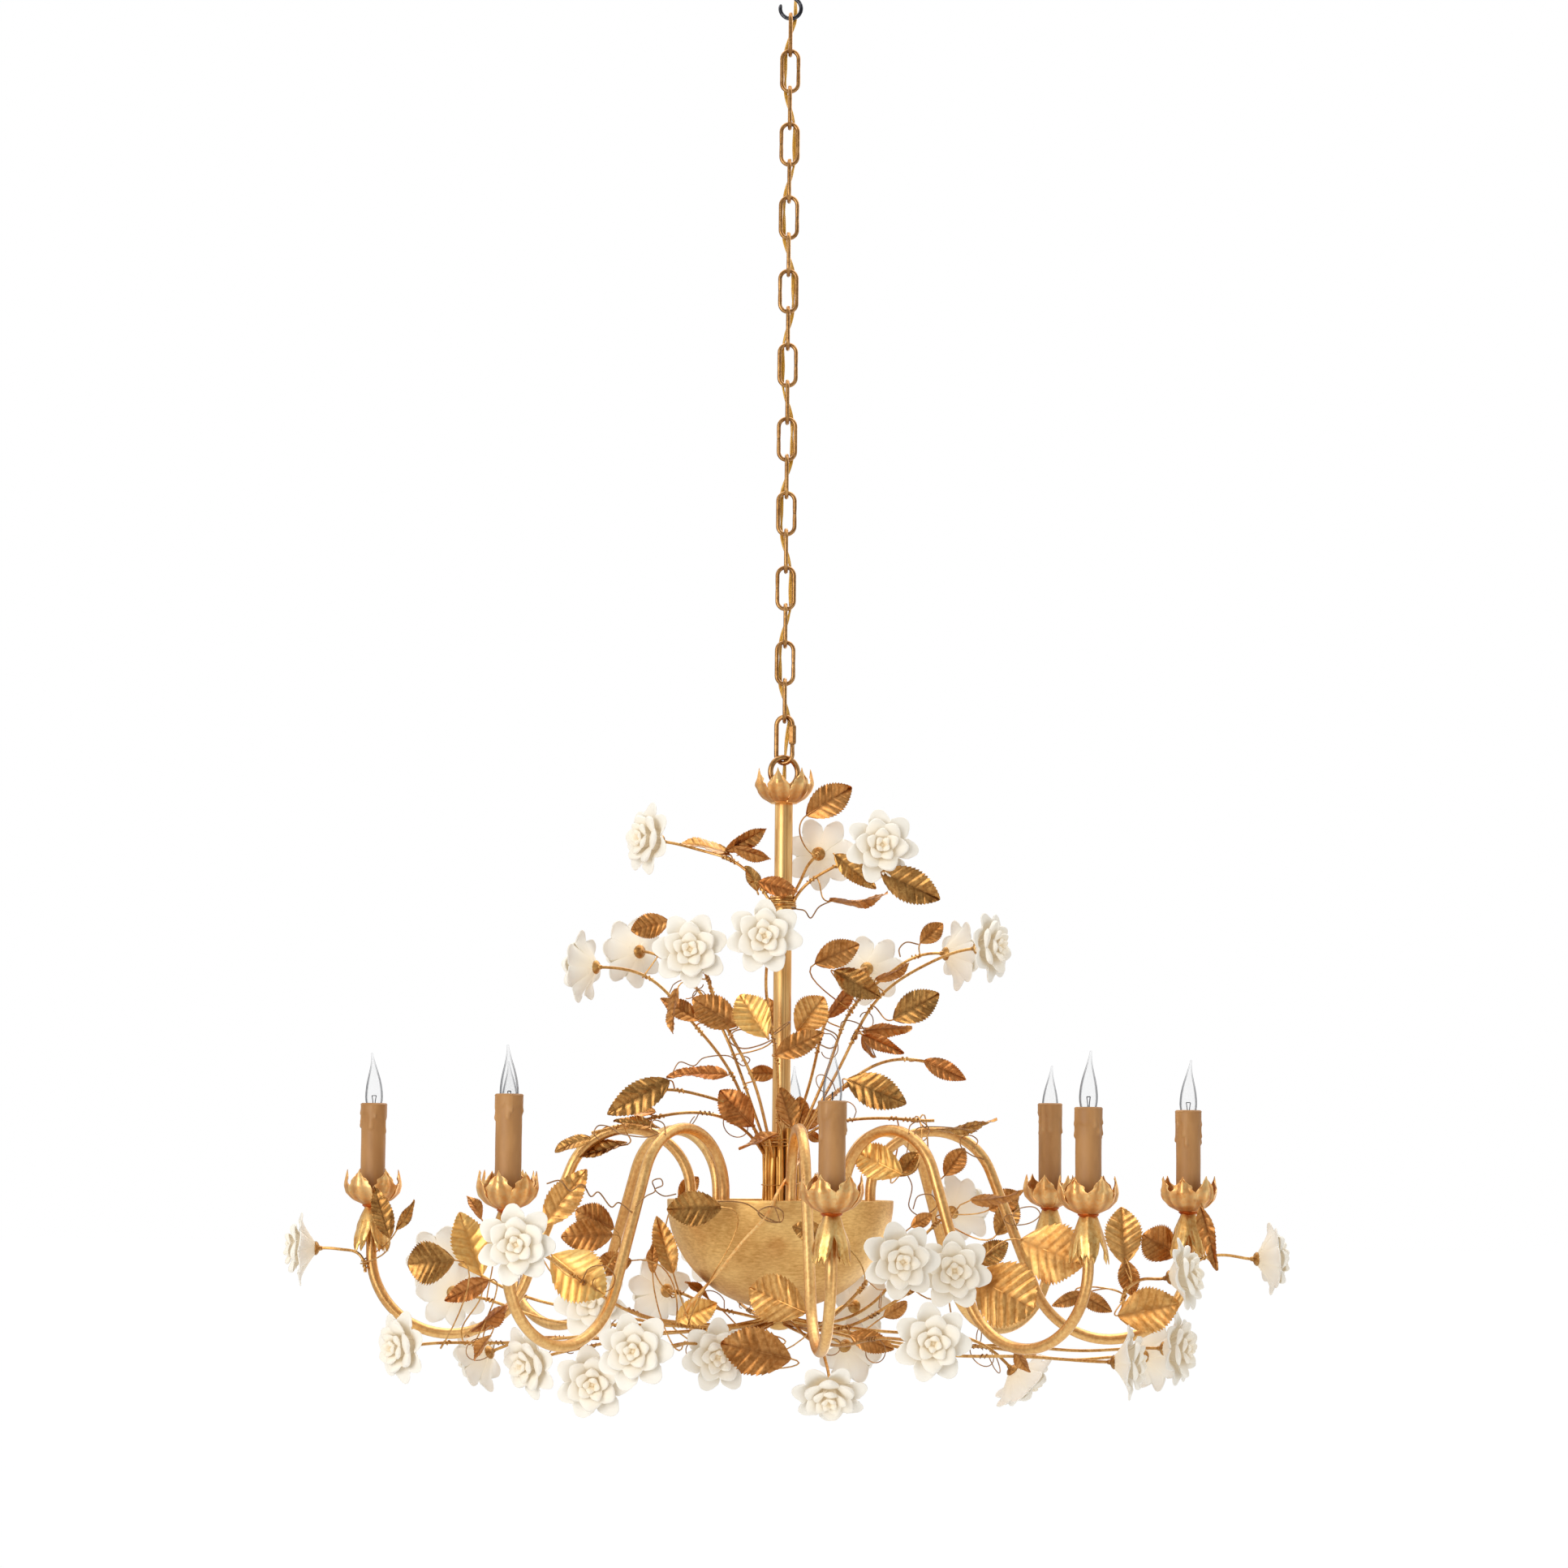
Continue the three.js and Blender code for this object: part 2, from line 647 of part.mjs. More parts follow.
// The placement of a leaf from its base to its tip, broadside on to the front and then turned
// about its length.
function leafFrame(base, tip, turn) {
  const along = tip.clone().sub(base).normalize();
  const out = new THREE.Vector3(0, -1, 0).projectOnPlane(along).normalize();
  out.applyAxisAngle(along, radians(turn));
  return new THREE.Matrix4().makeBasis(along, out.clone().cross(along), out).setPosition(base);
}

// A pressed leaf and its twig. The blade arches from its base to its tip, its two halves lifted
// from the midrib; the twig reaches the base from a point on a wire, and is bent where they meet.
function leafOnTwig(base, tip, turn, root) {
  const length = base.distanceTo(tip);
  const half = (length * LEAF.width) / 2;
  const arch = (along) => 4 * LEAF.arch * length * along * (1 - along);
  const edge = (along, side) =>
    new THREE.Vector3(along * length, side * half, arch(along) + half * LEAF.fold);
  const frame = leafFrame(base, tip, turn);
  const outline = [
    edge(0.3, -0.9),
    edge(0.68, -0.85),
    new THREE.Vector3(length, 0, 0),
    edge(0.68, 0.85),
    edge(0.3, 0.9),
  ];
  const middle = [LEAF.thickness / 2, -LEAF.thickness / 2].map(
    (up) => new THREE.Vector3(length * 0.5, 0, arch(0.5) + up),
  );
  const [front, back] = framed(middle, frame);

  const twig = TWIG_DIAMETER / 2;
  const section = [
    new THREE.Vector3(0, twig, twig / 2),
    new THREE.Vector3(0, -twig, twig / 2),
    new THREE.Vector3(0, 0, -twig),
  ];
  const bend = new THREE.Quaternion().setFromUnitVectors(
    tip.clone().sub(base).normalize(),
    base.clone().sub(root).normalize(),
  );
  const ring = (share, at) => {
    const spin = new THREE.Quaternion().slerp(bend, share);
    const turned = new THREE.Matrix4().makeRotationFromQuaternion(spin).multiply(frame);
    return framed(section, turned.setPosition(at));
  };
  const rootRing = ring(1, root);
  const neck = ring(0.5, base);
  const [left, right, under] = neck;

  const edges = [right, ...framed(outline, frame), left];
  const faces = [];
  bandDown(faces, [root], rootRing);
  band(faces, rootRing, neck);
  band(faces, edges, [front]);
  bandDown(faces, [back], [...edges, under]);
  return surface(faces);
}

// Frames along a line whose X follows it without turning about it, and at its end a direction.
function framesAlong(line, towards) {
  const last = line.points.length - 1;
  const spin = new THREE.Quaternion();
  let heading = new THREE.Vector3(1, 0, 0);
  return line.points.map((point, step) => {
    const next = step === last ? towards : line.getTangentAt(step / last);
    spin.premultiply(new THREE.Quaternion().setFromUnitVectors(heading, next));
    heading = next;
    return new THREE.Matrix4().makeRotationFromQuaternion(spin).setPosition(point);
  });
}

// A wire from its root to the back of a blossom, into which it flares, or to a bare end.
function stalk(line, towards, blooms) {
  const frames = framesAlong(line, towards);
  const section = Array.from({ length: WIRE_SIDES }, (_, i) => {
    const angle = ((i + 0.5) * 2 * Math.PI) / WIRE_SIDES;
    const radius = WIRE_DIAMETER / 2;
    return new THREE.Vector3(0, radius * Math.cos(angle), radius * Math.sin(angle));
  });
  const rings = frames.map((frame) => framed(section, frame));
  const faces = [];
  bandDown(faces, [line.points[0]], rings[0]);
  for (let step = 1; step < rings.length; step += 1) {
    band(faces, rings[step - 1], rings[step]);
  }
  if (blooms) {
    const [edge, bud, heart] = blossomRings().map((ring) => framed(ring, frames.at(-1)));
    bandDown(faces, rings.at(-1), edge);
    band(faces, edge, bud);
    band(faces, bud, heart);
  } else {
    band(faces, rings.at(-1), [line.points.at(-1)]);
  }
  return surface(faces);
}

// The line of a wire that leaves its root in one direction and arrives at its end in another.
function wireLine(root, leaving, end, towards) {
  const span = end.distanceTo(root);
  const curve = new THREE.CubicBezierCurve3(
    root,
    root.clone().addScaledVector(leaving, span * WIRE_SPRING),
    end.clone().addScaledVector(towards, -span * WIRE_EASE),
    end,
  );
  return new Stations(curve.getPoints(WIRE_STEPS));
}

// The place on a spray's lines that is nearest to a point, of those where a twig may grow.
function nearestOn(lines, point) {
  const { from, to, tries } = TWIG_ROOTS;
  const shares = Array.from({ length: tries }, (_, i) => from + ((to - from) * i) / (tries - 1));
  return lines
    .flatMap((line) => shares.map((share) => line.getPoint(share)))
    .reduce((best, next) => (next.distanceTo(point) < best.distanceTo(point) ? next : best));
}

// A place in a spray, in hundredths of SPREAD across, back and above the foot it grows from.
function spot(across, back, above, foot) {
  const share = SPREAD / 100;
  return new THREE.Vector3(across * share, back * share, rim + foot + above * share);
}

// A spray's wires, blossoms and leaves, each wire starting where and as the spray says.
function foliage({ blossoms, bare = [], leaves }, foot, start) {
  const wires = [...blossoms, ...bare].map(([across, back, above, bearing, tilt], i) => {
    const blooms = i < blossoms.length;
    const towards = direction(bearing, tilt);
    const end = spot(across, back, above, foot).addScaledVector(towards, blooms ? -BLOSSOM.depth : 0);
    const { root, leaving } = start(THREE.MathUtils.radToDeg(Math.atan2(back, across)), i);
    return { line: wireLine(root, leaving, end, towards), towards, blooms };
  });
  const lines = wires.map(({ line }) => line);
  const blades = leaves.map(([x, y, z, tipX, tipY, tipZ, turn = 0]) => {
    const base = spot(x, y, z, foot);
    return leafOnTwig(base, spot(tipX, tipY, tipZ, foot), turn, nearestOn(lines, base));
  });
  return [...wires.map(({ line, towards, blooms }) => stalk(line, towards, blooms)), ...blades];
}

// Turns of wire bound round the stem.
function binding({ foot, height }) {
  const inner = around(STEM_DIAMETER / 2 + SEAT_GAP, STEM_SIDES);
  const outer = inner + BINDING_THICKNESS;
  return turned(
    [
      [inner, foot],
      [outer, foot],
      [outer, foot + height],
      [inner, foot + height],
      [inner, foot],
    ],
    STEM_SIDES,
  ).translate(0, 0, rim);
}

// Rods packed side by side round the foot of the stem, standing on the bowl's plate.
function bundle() {
  const { rods, rod: across, height } = BUNDLE;
  const inner = around(STEM_DIAMETER / 2 + SEAT_GAP, STEM_SIDES);
  const section = new THREE.Shape(
    Array.from({ length: 2 * rods }, (_, i) => {
      const angle = (i * Math.PI) / rods;
      const reach = inner + across * (i % 2 ? 1 : 0.75);
      return new THREE.Vector2(reach * Math.cos(angle), reach * Math.sin(angle));
    }),
  );
  section.holes.push(
    new THREE.Path(
      Array.from({ length: STEM_SIDES }, (_, i) => {
        const angle = (i * 2 * Math.PI) / STEM_SIDES;
        return new THREE.Vector2(inner * Math.cos(angle), inner * Math.sin(angle));
      }),
    ),
  );
  const packed = new THREE.ExtrudeGeometry(section, { depth: height, bevelEnabled: false });
  return packed.translate(0, 0, rim - PLATE_BELOW_RIM + SEAT_GAP);
}

// Wires tied round the stem tube by a binding, each leaving it upwards towards its own end.
function boundSpray(wrap, spray) {
  const reach = STEM_DIAMETER / 2 + SEAT_GAP + BINDING_THICKNESS * 0.7;
  const start = (bearing, i) => ({
    root: place(bearing, reach, wrap.foot + wrap.height * (0.35 + 0.3 * (i % 2))),
    leaving: direction(bearing, wrap.rise),
  });
  return [binding(wrap), ...foliage(spray, wrap.foot, start)];
}

// The turn from one bearing to another, the short way round.
const turnBetween = (from, to) => THREE.MathUtils.euclideanModulo(to - from + 180, 360) - 180;

// Wires gathered beside the finial under the bowl.
function lowSpray(spray) {
  const { bearing } = spray;
  const reach = FINIAL_RADIUS + SEAT_GAP + WIRE_DIAMETER / 2;
  const foot = -BOWL_DEPTH - FINIAL_LENGTH * 0.6;
  const heel = rod([place(bearing, reach, foot + 6), place(bearing, reach, foot - 3)], WIRE_DIAMETER, 8);
  const start = (towards, i) => ({
    root: place(bearing, reach, foot + 4 - 2 * i),
    leaving: direction(bearing + turnBetween(bearing, towards) / 2, LOW_FALL),
  });
  return join([heel, ...foliage(spray, foot, start)]);
}

// ---------------------------------------------------------------- what grows where
// Across is to the right, back is away from the front, and above is from the spray's foot, all in
// hundredths of SPREAD. A blossom is [across, back, above, bearing, tilt] of its open petals and
// the way they face; a bare wire is the same of its end. A leaf is its base, its tip and how many
// degrees it is turned about its length from facing the front. Bearings run anticlockwise seen
// from above, with the front at 270.
const CROWN = {
  blossoms: [
    [-27, 0, 13.5, 205, 0],
    [7.5, 8, 11.5, 80, 5],
    [19, -12, 11.5, 278, 5],
  ],
  leaves: [
    [4, 0, 19, 13, 0, 24.5],
    [-10.5, 0, 12, -3.5, 0, 16, 45],
    [-10.5, 0, 10.5, -20.5, 0, 12.5, 65],
    [-5, -4, 3, -7.5, -4, 8, 45],
    [-4.5, -6, 3, 2.5, -6, 3.5],
    [10, -6, 10, 17.5, -6, 4],
    [19, -12, 4, 30, -12, 1.5],
    [10, -4, 1, 20.5, -4, 3, 65],
  ],
};

const MIDDLE = {
  blossoms: [
    [-39.5, 0, 40, 155, 0],
    [-30.5, 18, 44, 125, 0],
    [-17.5, -30, 42, 268, 3],
    [-3.5, -34, 44.5, 270, 0],
    [18, 30, 41.5, 75, 0],
    [35.5, 14, 44, 25, 0],
    [41, -4, 44.5, 330, 3],
  ],
  bare: [
    [-23, -7, 16, 190, 0],
    [13, -11, 17, 300, 10],
    [28, -3, 22, 350, -10],
    [-37, -4.5, 7.5, 185, -15],
    [30, -3, 10.5, 355, 5],
  ],
  leaves: [
    [-22.5, -8, 46.5, -30, -8, 47],
    [6.5, -4, 42, 15, -4, 44.5],
    [10, 0, 39.5, 19, 0, 35.5],
    [17, 0, 39, 25, 0, 41, 60],
    [27.5, 12, 46, 32, 12, 50],
    [-14, -8, 29, -23.5, -8, 33.5],
    [-20.5, -12, 35.5, -21, -12, 27, 65],
    [-9, -12, 28.5, -17.5, -12, 33],
    [-3, -16, 26, -7, -16, 34],
    [-1.5, 4, 27, -3, 4, 34.5],
    [3, 4, 29.5, 8, 4, 34.5],
    [9, 4, 30.5, 14, 4, 37.5, 40],
    [-1, -12, 24.5, 8, -12, 27],
    [22.5, 0, 30.5, 31, 0, 35.5],
    [16.5, 0, 28.5, 25.5, 0, 29, 65],
    [16.5, -4, 27, 24, -4, 24, 45],
    [28, -4, 22, 36, -4, 18.5, 45],
    [-10.5, -4, 19, -22, -4, 18, 45],
    [-22.5, -8, 17, -33.5, -8, 11],
    [-5.5, -4, 9, -12, -4, 16],
    [13, -12, 17.5, 24, -12, 13.5],
    [2, -6, 9, -0.5, -6, 16.5, 30],
    [4, 6, 8.5, 7.5, 6, 12.5],
    [-24.5, -2, 11, -33, -2, 11.5, 65],
    [-37, -5, 6.5, -44.5, -5, 4, 65],
    [29.5, -3, 11, 42.5, -3, 12, 65],
    [23.5, -12, 0, 14, -12, 4.5],
  ],
};

const LOW_SPRAYS = [
  {
    name: "left",
    bearing: 164,
    blossoms: [
      [-95.5, 3, 13.5, 178, 0],
      [-66, 24, 4.5, 100, 0],
      [-70.5, 34, 16, 110, 0],
      [-60, 14, -8, 150, -20],
    ],
    leaves: [
      [-75, -6, 17, -71, -6, 23, 50],
      [-58.5, 0, 19.5, -61.5, 0, 24, 50],
      [-60, -5, -2, -53, -5, 3.5, 60],
    ],
  },
  {
    name: "left_front",
    bearing: 205,
    blossoms: [
      [-72, -12, -4, 203, -5],
      [-48.5, -8, -8, 225, -15],
      [-36, -20, 4.5, 262, 0],
    ],
    leaves: [
      [-62, -20, 10.5, -71, -20, 11.5],
      [-57.5, -12, 8.5, -62, -12, 21, 30],
      [-54, -12, 9, -64, -12, 4],
      [-55.5, -12, -2.5, -58.5, -12, -7.5, 60],
      [-32, -12, 18, -39.5, -12, 21.5],
      [-32, -16, 17, -42, -16, 16.5],
      [-35.5, -12, 10.5, -30, -12, 13],
    ],
  },
  {
    name: "front",
    bearing: 240,
    blossoms: [
      [-47, -72, 16, 268, 0],
      [-34.5, -40, -10, 268, -10],
      [-26.5, -52, -3.5, 262, 0],
      [-11.5, -24, -5.5, 270, -10],
    ],
    leaves: [
      [-44.5, -30, 19, -37, -30, 28.5],
      [-43, -40, 14, -32.5, -40, 6.5],
      [-22, -12, 7, -23.5, -12, 20.5, 50],
      [-20, -12, 0.5, -12, -12, 4],
      [-5, -20, 2, 0.5, -20, 8],
      [-0.5, -24, -1, -11.5, -24, -4],
      [0.5, -22, -3.5, -11, -22, -7],
      [-11, -26, 22.5, -21.5, -26, 22],
    ],
  },
  {
    name: "front_right",
    bearing: 292,
    blossoms: [
      [9.5, -30, -12.5, 270, -42],
      [22, -60, 13.5, 278, -8],
      [32, -49, 11.5, 272, 0],
      [27.5, -65, -1, 273, -3],
    ],
    leaves: [
      [44.5, -36, 16.5, 56, -36, 11],
      [36.5, -44, 9, 47, -44, 3.5],
      [37.5, -12, 12, 44, -12, 16],
      [8, -32, 17.5, 2.5, -32, 19.5],
      [25, -20, 19, 29, -20, 21.5],
      [12.5, -20, -1.5, 23, -20, -4],
    ],
  },
  {
    name: "right_front",
    bearing: 338,
    blossoms: [
      [47, -12, -10.5, 20, -45],
      [66.5, -26, -6, 320, 0],
      [78.5, -25, 11, 325, 8],
      [77.5, -12, -1.5, 325, 0],
    ],
    leaves: [
      [64.5, -20, 3, 76, -20, 5],
      [66, -12, 13, 66, -12, 23],
      [66, -12, 13, 67.5, -12, 6],
      [58.5, -12, 5.5, 64, -12, 2.5],
      [57.5, -12, 7, 52.5, -12, 3.5],
      [44.5, -26, -3.5, 47.5, -26, -8, 50],
      [37, -16, 24.5, 46.5, -16, 26, 65],
    ],
  },
  {
    name: "right",
    bearing: 22,
    blossoms: [
      [97.5, 3, 13, 10, 0],
      [74.5, 12, -6.5, 40, 0],
      [36.5, 22, 22.5, 50, 20],
      [16.5, 20, 2, 60, -10],
    ],
    leaves: [
      [78.5, 5, 12, 71.5, 5, 17.5],
      [43, 12, 17, 47, 12, 24],
      [41.5, 12, 22, 47.5, 12, 25.5],
    ],
  },
  {
    name: "back",
    bearing: 96,
    blossoms: [
      [-24, 16, 5.5, 120, 0],
      [14.5, 12, -6, 60, -20],
      [-13.5, 58, 12, 95, 5],
      [12.5, 58, 11, 85, 0],
    ],
    leaves: [
      [-25, 10, 10, -25.5, 10, 14],
      [-20.5, 20, 24, -16.5, 20, 28],
      [-10, 44, 12, -18, 46, 18, 180],
      [10, 44, 10, 19, 46, 15, 180],
    ],
  },
];

// ---------------------------------------------------------------- finishes
const finish = (color, roughness, metalness) =>
  new THREE.MeshStandardMaterial({ color, roughness, metalness });
const GILT = finish(0xc8923e, 0.35, 0.9);
const CHAIN_GOLD = finish(0xa9752f, 0.35, 0.9);
const HOOK_STEEL = finish(0x3a3b3d, 0.4, 0.9);
const PORCELAIN = finish(0xf1ede0, 0.2, 0);
const WAX = finish(0xb98a55, 0.6, 0);
const GLASS = finish(0xf2f2f2, 0.05, 0);
const CORD_SHEATH = finish(0xc89a3a, 0.4, 0);

// ---------------------------------------------------------------- assembly
const chandelier = new THREE.Group();

function piece(name, geometry, material, parent = chandelier) {
  const mesh = new THREE.Mesh(geometry, material);
  mesh.name = name;
  parent.add(mesh);
  return mesh;
}

piece("ceiling_hook", hook(), HOOK_STEEL);

for (let number = 1; number <= LINK_COUNT; number += 1) {
  const link = piece(`chain_link_${String(number).padStart(2, "0")}`, chainLink(), CHAIN_GOLD);
  link.position.z = linkMiddle(number);
  link.rotation.z = number % 2 ? Math.PI / 2 : 0;
}

const quick = new THREE.Group();
quick.position.z = (quickTop + quickBottom) / 2;
quick.rotation.z = radians(QUICK_TURN);
chandelier.add(quick);
piece("quick_link", quickLink(), CHAIN_GOLD, quick);
piece("quick_link_nut", quickLinkNut(), CHAIN_GOLD, quick);

piece("supply_cord", rod(cordRoute(), CORD_DIAMETER, 5), CORD_SHEATH);

piece("hanging_loop", hangingLoop(), CHAIN_GOLD);
piece("top_cup", petalCup(TOP_CUP, cupFloor - CUP_FLOOR, LOOP_NECK.diameter / 2 + SEAT_GAP), GILT);
piece("stem_tube", stem(), GILT);
piece("bowl", bowl(), GILT);

ARM_BEARINGS.forEach((bearing, i) => {
  const number = i + 1;
  piece(`arm_${number}`, arm(bearing), GILT);
  const candle = new THREE.Group();
  candle.position.copy(place(bearing, ARM_REACH, 0));
  candle.rotation.z = radians(bearing);
  chandelier.add(candle);
  piece(`candle_sleeve_${number}`, sleeve(SLEEVE_TOPS[i]), WAX, candle);
  piece(`bulb_${number}`, bulb(), GLASS, candle);
});

piece("crown_spray", join(boundSpray(CROWN_BINDING, CROWN)), PORCELAIN);
piece("middle_spray", join([bundle(), ...boundSpray(MIDDLE_BINDING, MIDDLE)]), PORCELAIN);
LOW_SPRAYS.forEach((spray) => piece(`low_spray_${spray.name}`, lowSpray(spray), PORCELAIN));

export default chandelier;
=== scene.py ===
"""The looks of a multi-arm chandelier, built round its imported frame.

A steel hook carries a chain, a quick link and a tiered fixture: a stem, a bowl, eight tubular
arms with candle lamps, and wired sprays of porcelain blossoms and pressed leaves. Sizes are in
millimetres from the ceiling plate's middle, and each mesh is scaled to the frame's metres.
"""

from __future__ import annotations

import logging
import math
from dataclasses import dataclass, field, replace
from enum import Enum
from typing import Sequence

import bpy
import numpy as np
from mathutils import Matrix, Quaternion, Vector

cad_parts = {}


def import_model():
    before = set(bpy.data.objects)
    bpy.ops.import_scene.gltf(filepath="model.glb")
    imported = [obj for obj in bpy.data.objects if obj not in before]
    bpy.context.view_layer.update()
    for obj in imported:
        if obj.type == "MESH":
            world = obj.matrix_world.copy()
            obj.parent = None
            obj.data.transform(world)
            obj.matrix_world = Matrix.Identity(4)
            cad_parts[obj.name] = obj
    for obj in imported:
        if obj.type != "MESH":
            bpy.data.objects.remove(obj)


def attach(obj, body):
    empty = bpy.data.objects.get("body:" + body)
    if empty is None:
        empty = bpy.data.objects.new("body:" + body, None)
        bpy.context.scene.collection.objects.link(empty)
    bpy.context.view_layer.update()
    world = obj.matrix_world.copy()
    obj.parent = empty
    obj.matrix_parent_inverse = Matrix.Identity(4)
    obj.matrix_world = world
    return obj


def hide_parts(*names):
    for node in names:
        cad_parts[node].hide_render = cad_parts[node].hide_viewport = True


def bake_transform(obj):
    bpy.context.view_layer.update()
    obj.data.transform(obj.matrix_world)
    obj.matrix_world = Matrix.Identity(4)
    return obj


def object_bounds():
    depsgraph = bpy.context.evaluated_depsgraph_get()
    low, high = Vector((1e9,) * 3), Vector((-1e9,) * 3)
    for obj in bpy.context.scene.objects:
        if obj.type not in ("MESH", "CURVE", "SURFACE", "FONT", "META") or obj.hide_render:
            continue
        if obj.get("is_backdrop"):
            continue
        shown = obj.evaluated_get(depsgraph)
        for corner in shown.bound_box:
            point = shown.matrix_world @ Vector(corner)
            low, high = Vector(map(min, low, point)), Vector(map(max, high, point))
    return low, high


log = logging.getLogger("chandelier")

MM = 0.001
UP = Vector((0, 0, 1))
Colour = tuple[float, float, float]


def linear(screen: int) -> float:
    """A screen value, 0 to 255, as the linear one that the shaders take."""
    share = screen / 255
    return share / 12.92 if share <= 0.04045 else ((share + 0.055) / 1.055) ** 2.4


def srgb(red: int, green: int, blue: int) -> Colour:
    """A colour from its screen values, 0 to 255."""
    return (linear(red), linear(green), linear(blue))


# ---- shader maths


class Value:
    """One output of a shader node, which adds Math nodes when it is used in arithmetic."""

    def __init__(self, graph: Graph, socket: bpy.types.NodeSocket) -> None:
        """Wraps a socket of a graph."""
        self.graph = graph
        self.socket = socket

    def math(self, operation: str, *others: Value | float, clamp: bool = False) -> Value:
        """This value through a Math node, followed by its other inputs."""
        settings = {"operation": operation, "use_clamp": clamp}
        return self.graph.node("ShaderNodeMath", settings, dict(enumerate((self, *others))))

    def __add__(self, other: Value | float) -> Value:
        """The sum of the two."""
        return self.math("ADD", other)

    __radd__ = __add__

    def __sub__(self, other: Value | float) -> Value:
        """This less the other."""
        return self.math("SUBTRACT", other)

    def __rsub__(self, other: float) -> Value:
        """A number less this."""
        return self.graph.node("ShaderNodeMath", {"operation": "SUBTRACT"}, {0: other, 1: self})

    def __mul__(self, other: Value | float) -> Value:
        """The product of the two."""
        return self.math("MULTIPLY", other)

    __rmul__ = __mul__

    def __pow__(self, power: float) -> Value:
        """This raised to a power."""
        return self.math("POWER", power)

    def clamped(self) -> Value:
        """This kept from 0 to 1."""
        return self.math("ADD", 0.0, clamp=True)

    def between(self, low: float, high: float) -> Value:
        """How far this has come from one value to another, from 0 to 1, smoothly."""
        settings = {"interpolation_type": "SMOOTHSTEP"}
        return self.graph.node("ShaderNodeMapRange", settings, {0: self, 1: low, 2: high})


class Graph:
    """A node tree and the ways to add to it."""

    def __init__(self, tree: bpy.types.NodeTree) -> None:
        """Works in a given tree."""
        self.tree = tree

    def node(
        self, kind: str, settings: dict[str, object] | None = None,
        inputs: dict[int | str, object] | None = None, output: int | str = 0,
    ) -> Value:
        """Adds a node.

        Args:
            kind: The node's type.
            settings: Its properties, set before its inputs.
            inputs: A value or a link for each named or numbered input socket.
            output: The name or number of the socket that is wanted.

        Returns:
            That output, ready for arithmetic.
        """
        made = self.tree.nodes.new(kind)
        for key, value in (settings or {}).items():
            setattr(made, key, value)
        self.feed(made, inputs or {})
        return Value(self, made.outputs[output])

    def feed(self, node: bpy.types.Node, inputs: dict[int | str, object]) -> None:
        """Gives each named or numbered input of a node its value or its link.

        Args:
            node: The node.
            inputs: A value or a link for each input.
        """
        for key, value in inputs.items():
            socket = node.inputs[key]
            if isinstance(value, Value):
                self.tree.links.new(value.socket, socket)
            elif isinstance(value, tuple) and len(socket.default_value) == len(value) + 1:
                socket.default_value = (*value, 1.0)
            else:
                socket.default_value = value

    def place(self, scale: Colour = (1, 1, 1)) -> Value:
        """Where a point of the surface is, in metres, stretched by a scale along each axis."""
        where = self.node("ShaderNodeTexCoord", output="Object")
        return self.node("ShaderNodeMapping", {}, {"Vector": where, "Scale": scale})

    def noise(self, where: Value, scale: float, detail: float = 3, rough: float = 0.5) -> Value:
        """Cloudy noise from 0 to 1, so many waves to the metre."""
        inputs = {"Vector": where, "Scale": scale, "Detail": detail, "Roughness": rough}
        return self.node("ShaderNodeTexNoise", {}, inputs, "Fac")

    def mark(self, name: str) -> Value:
        """A value that the mesh's own points carry."""
        return self.node("ShaderNodeAttribute", {"attribute_name": name}, {}, "Fac")

    def blend(self, share: Value, under: Value | Colour, over: Value | Colour) -> Value:
        """One colour over another."""
        settings = {"data_type": "RGBA"}
        return self.node("ShaderNodeMix", settings, {0: share, 6: under, 7: over}, 2)

    def bump(self, height: Value, strength: float, distance: float) -> Value:
        """A normal that follows a height."""
        inputs = {"Strength": strength, "Distance": distance, "Height": height}
        return self.node("ShaderNodeBump", {}, inputs)


class Paint(Graph):
    """The node tree of one material."""

    def __init__(self, name: str) -> None:
        """Starts a material that holds only its surface shader.

        Args:
            name: Of the material.
        """
        self.material = bpy.data.materials.new(name)
        self.material.use_nodes = True
        super().__init__(self.material.node_tree)
        self.surface = self.tree.nodes["Principled BSDF"]

    def finish(self, **sockets: object) -> bpy.types.Material:
        """Sets the surface shader's sockets and returns the material."""
        self.feed(self.surface, {key.replace("_", " "): v for key, v in sockets.items()})
        return self.material


# ---- finishes


class Finish(Enum):
    """The finishes, each the name of a material."""

    HOOK = "hook_steel"
    CHAIN = "chain_bronze"
    # painted shadow: the dark rod in each link's seam gap
    SEAM_SHADOW = "seam_shadow"
    CORD = "cord_sheath"
    STEM = "stem_gilt"
    BOWL = "bowl_gilt"
    ARM = "arm_gilt"
    CUP = "cup_gilt"
    CALYX = "calyx_gilt"
    BOLE = "bole_red"
    BUNDLE = "bundle_gilt"
    WIRE = "wire_gilt"
    TENDRIL = "tendril_wire"
    LEAF_PALE = "leaf_pale"
    LEAF_GOLD = "leaf_gold"
    LEAF_BROWN = "leaf_brown"
    LEAF_RED = "leaf_red"
    LEAF_DARK = "leaf_dark"
    PORCELAIN = "porcelain"
    WAX = "wax"
    GLASS = "lamp_glass"
    BRASS = "cap_brass"
    FILAMENT = "filament"


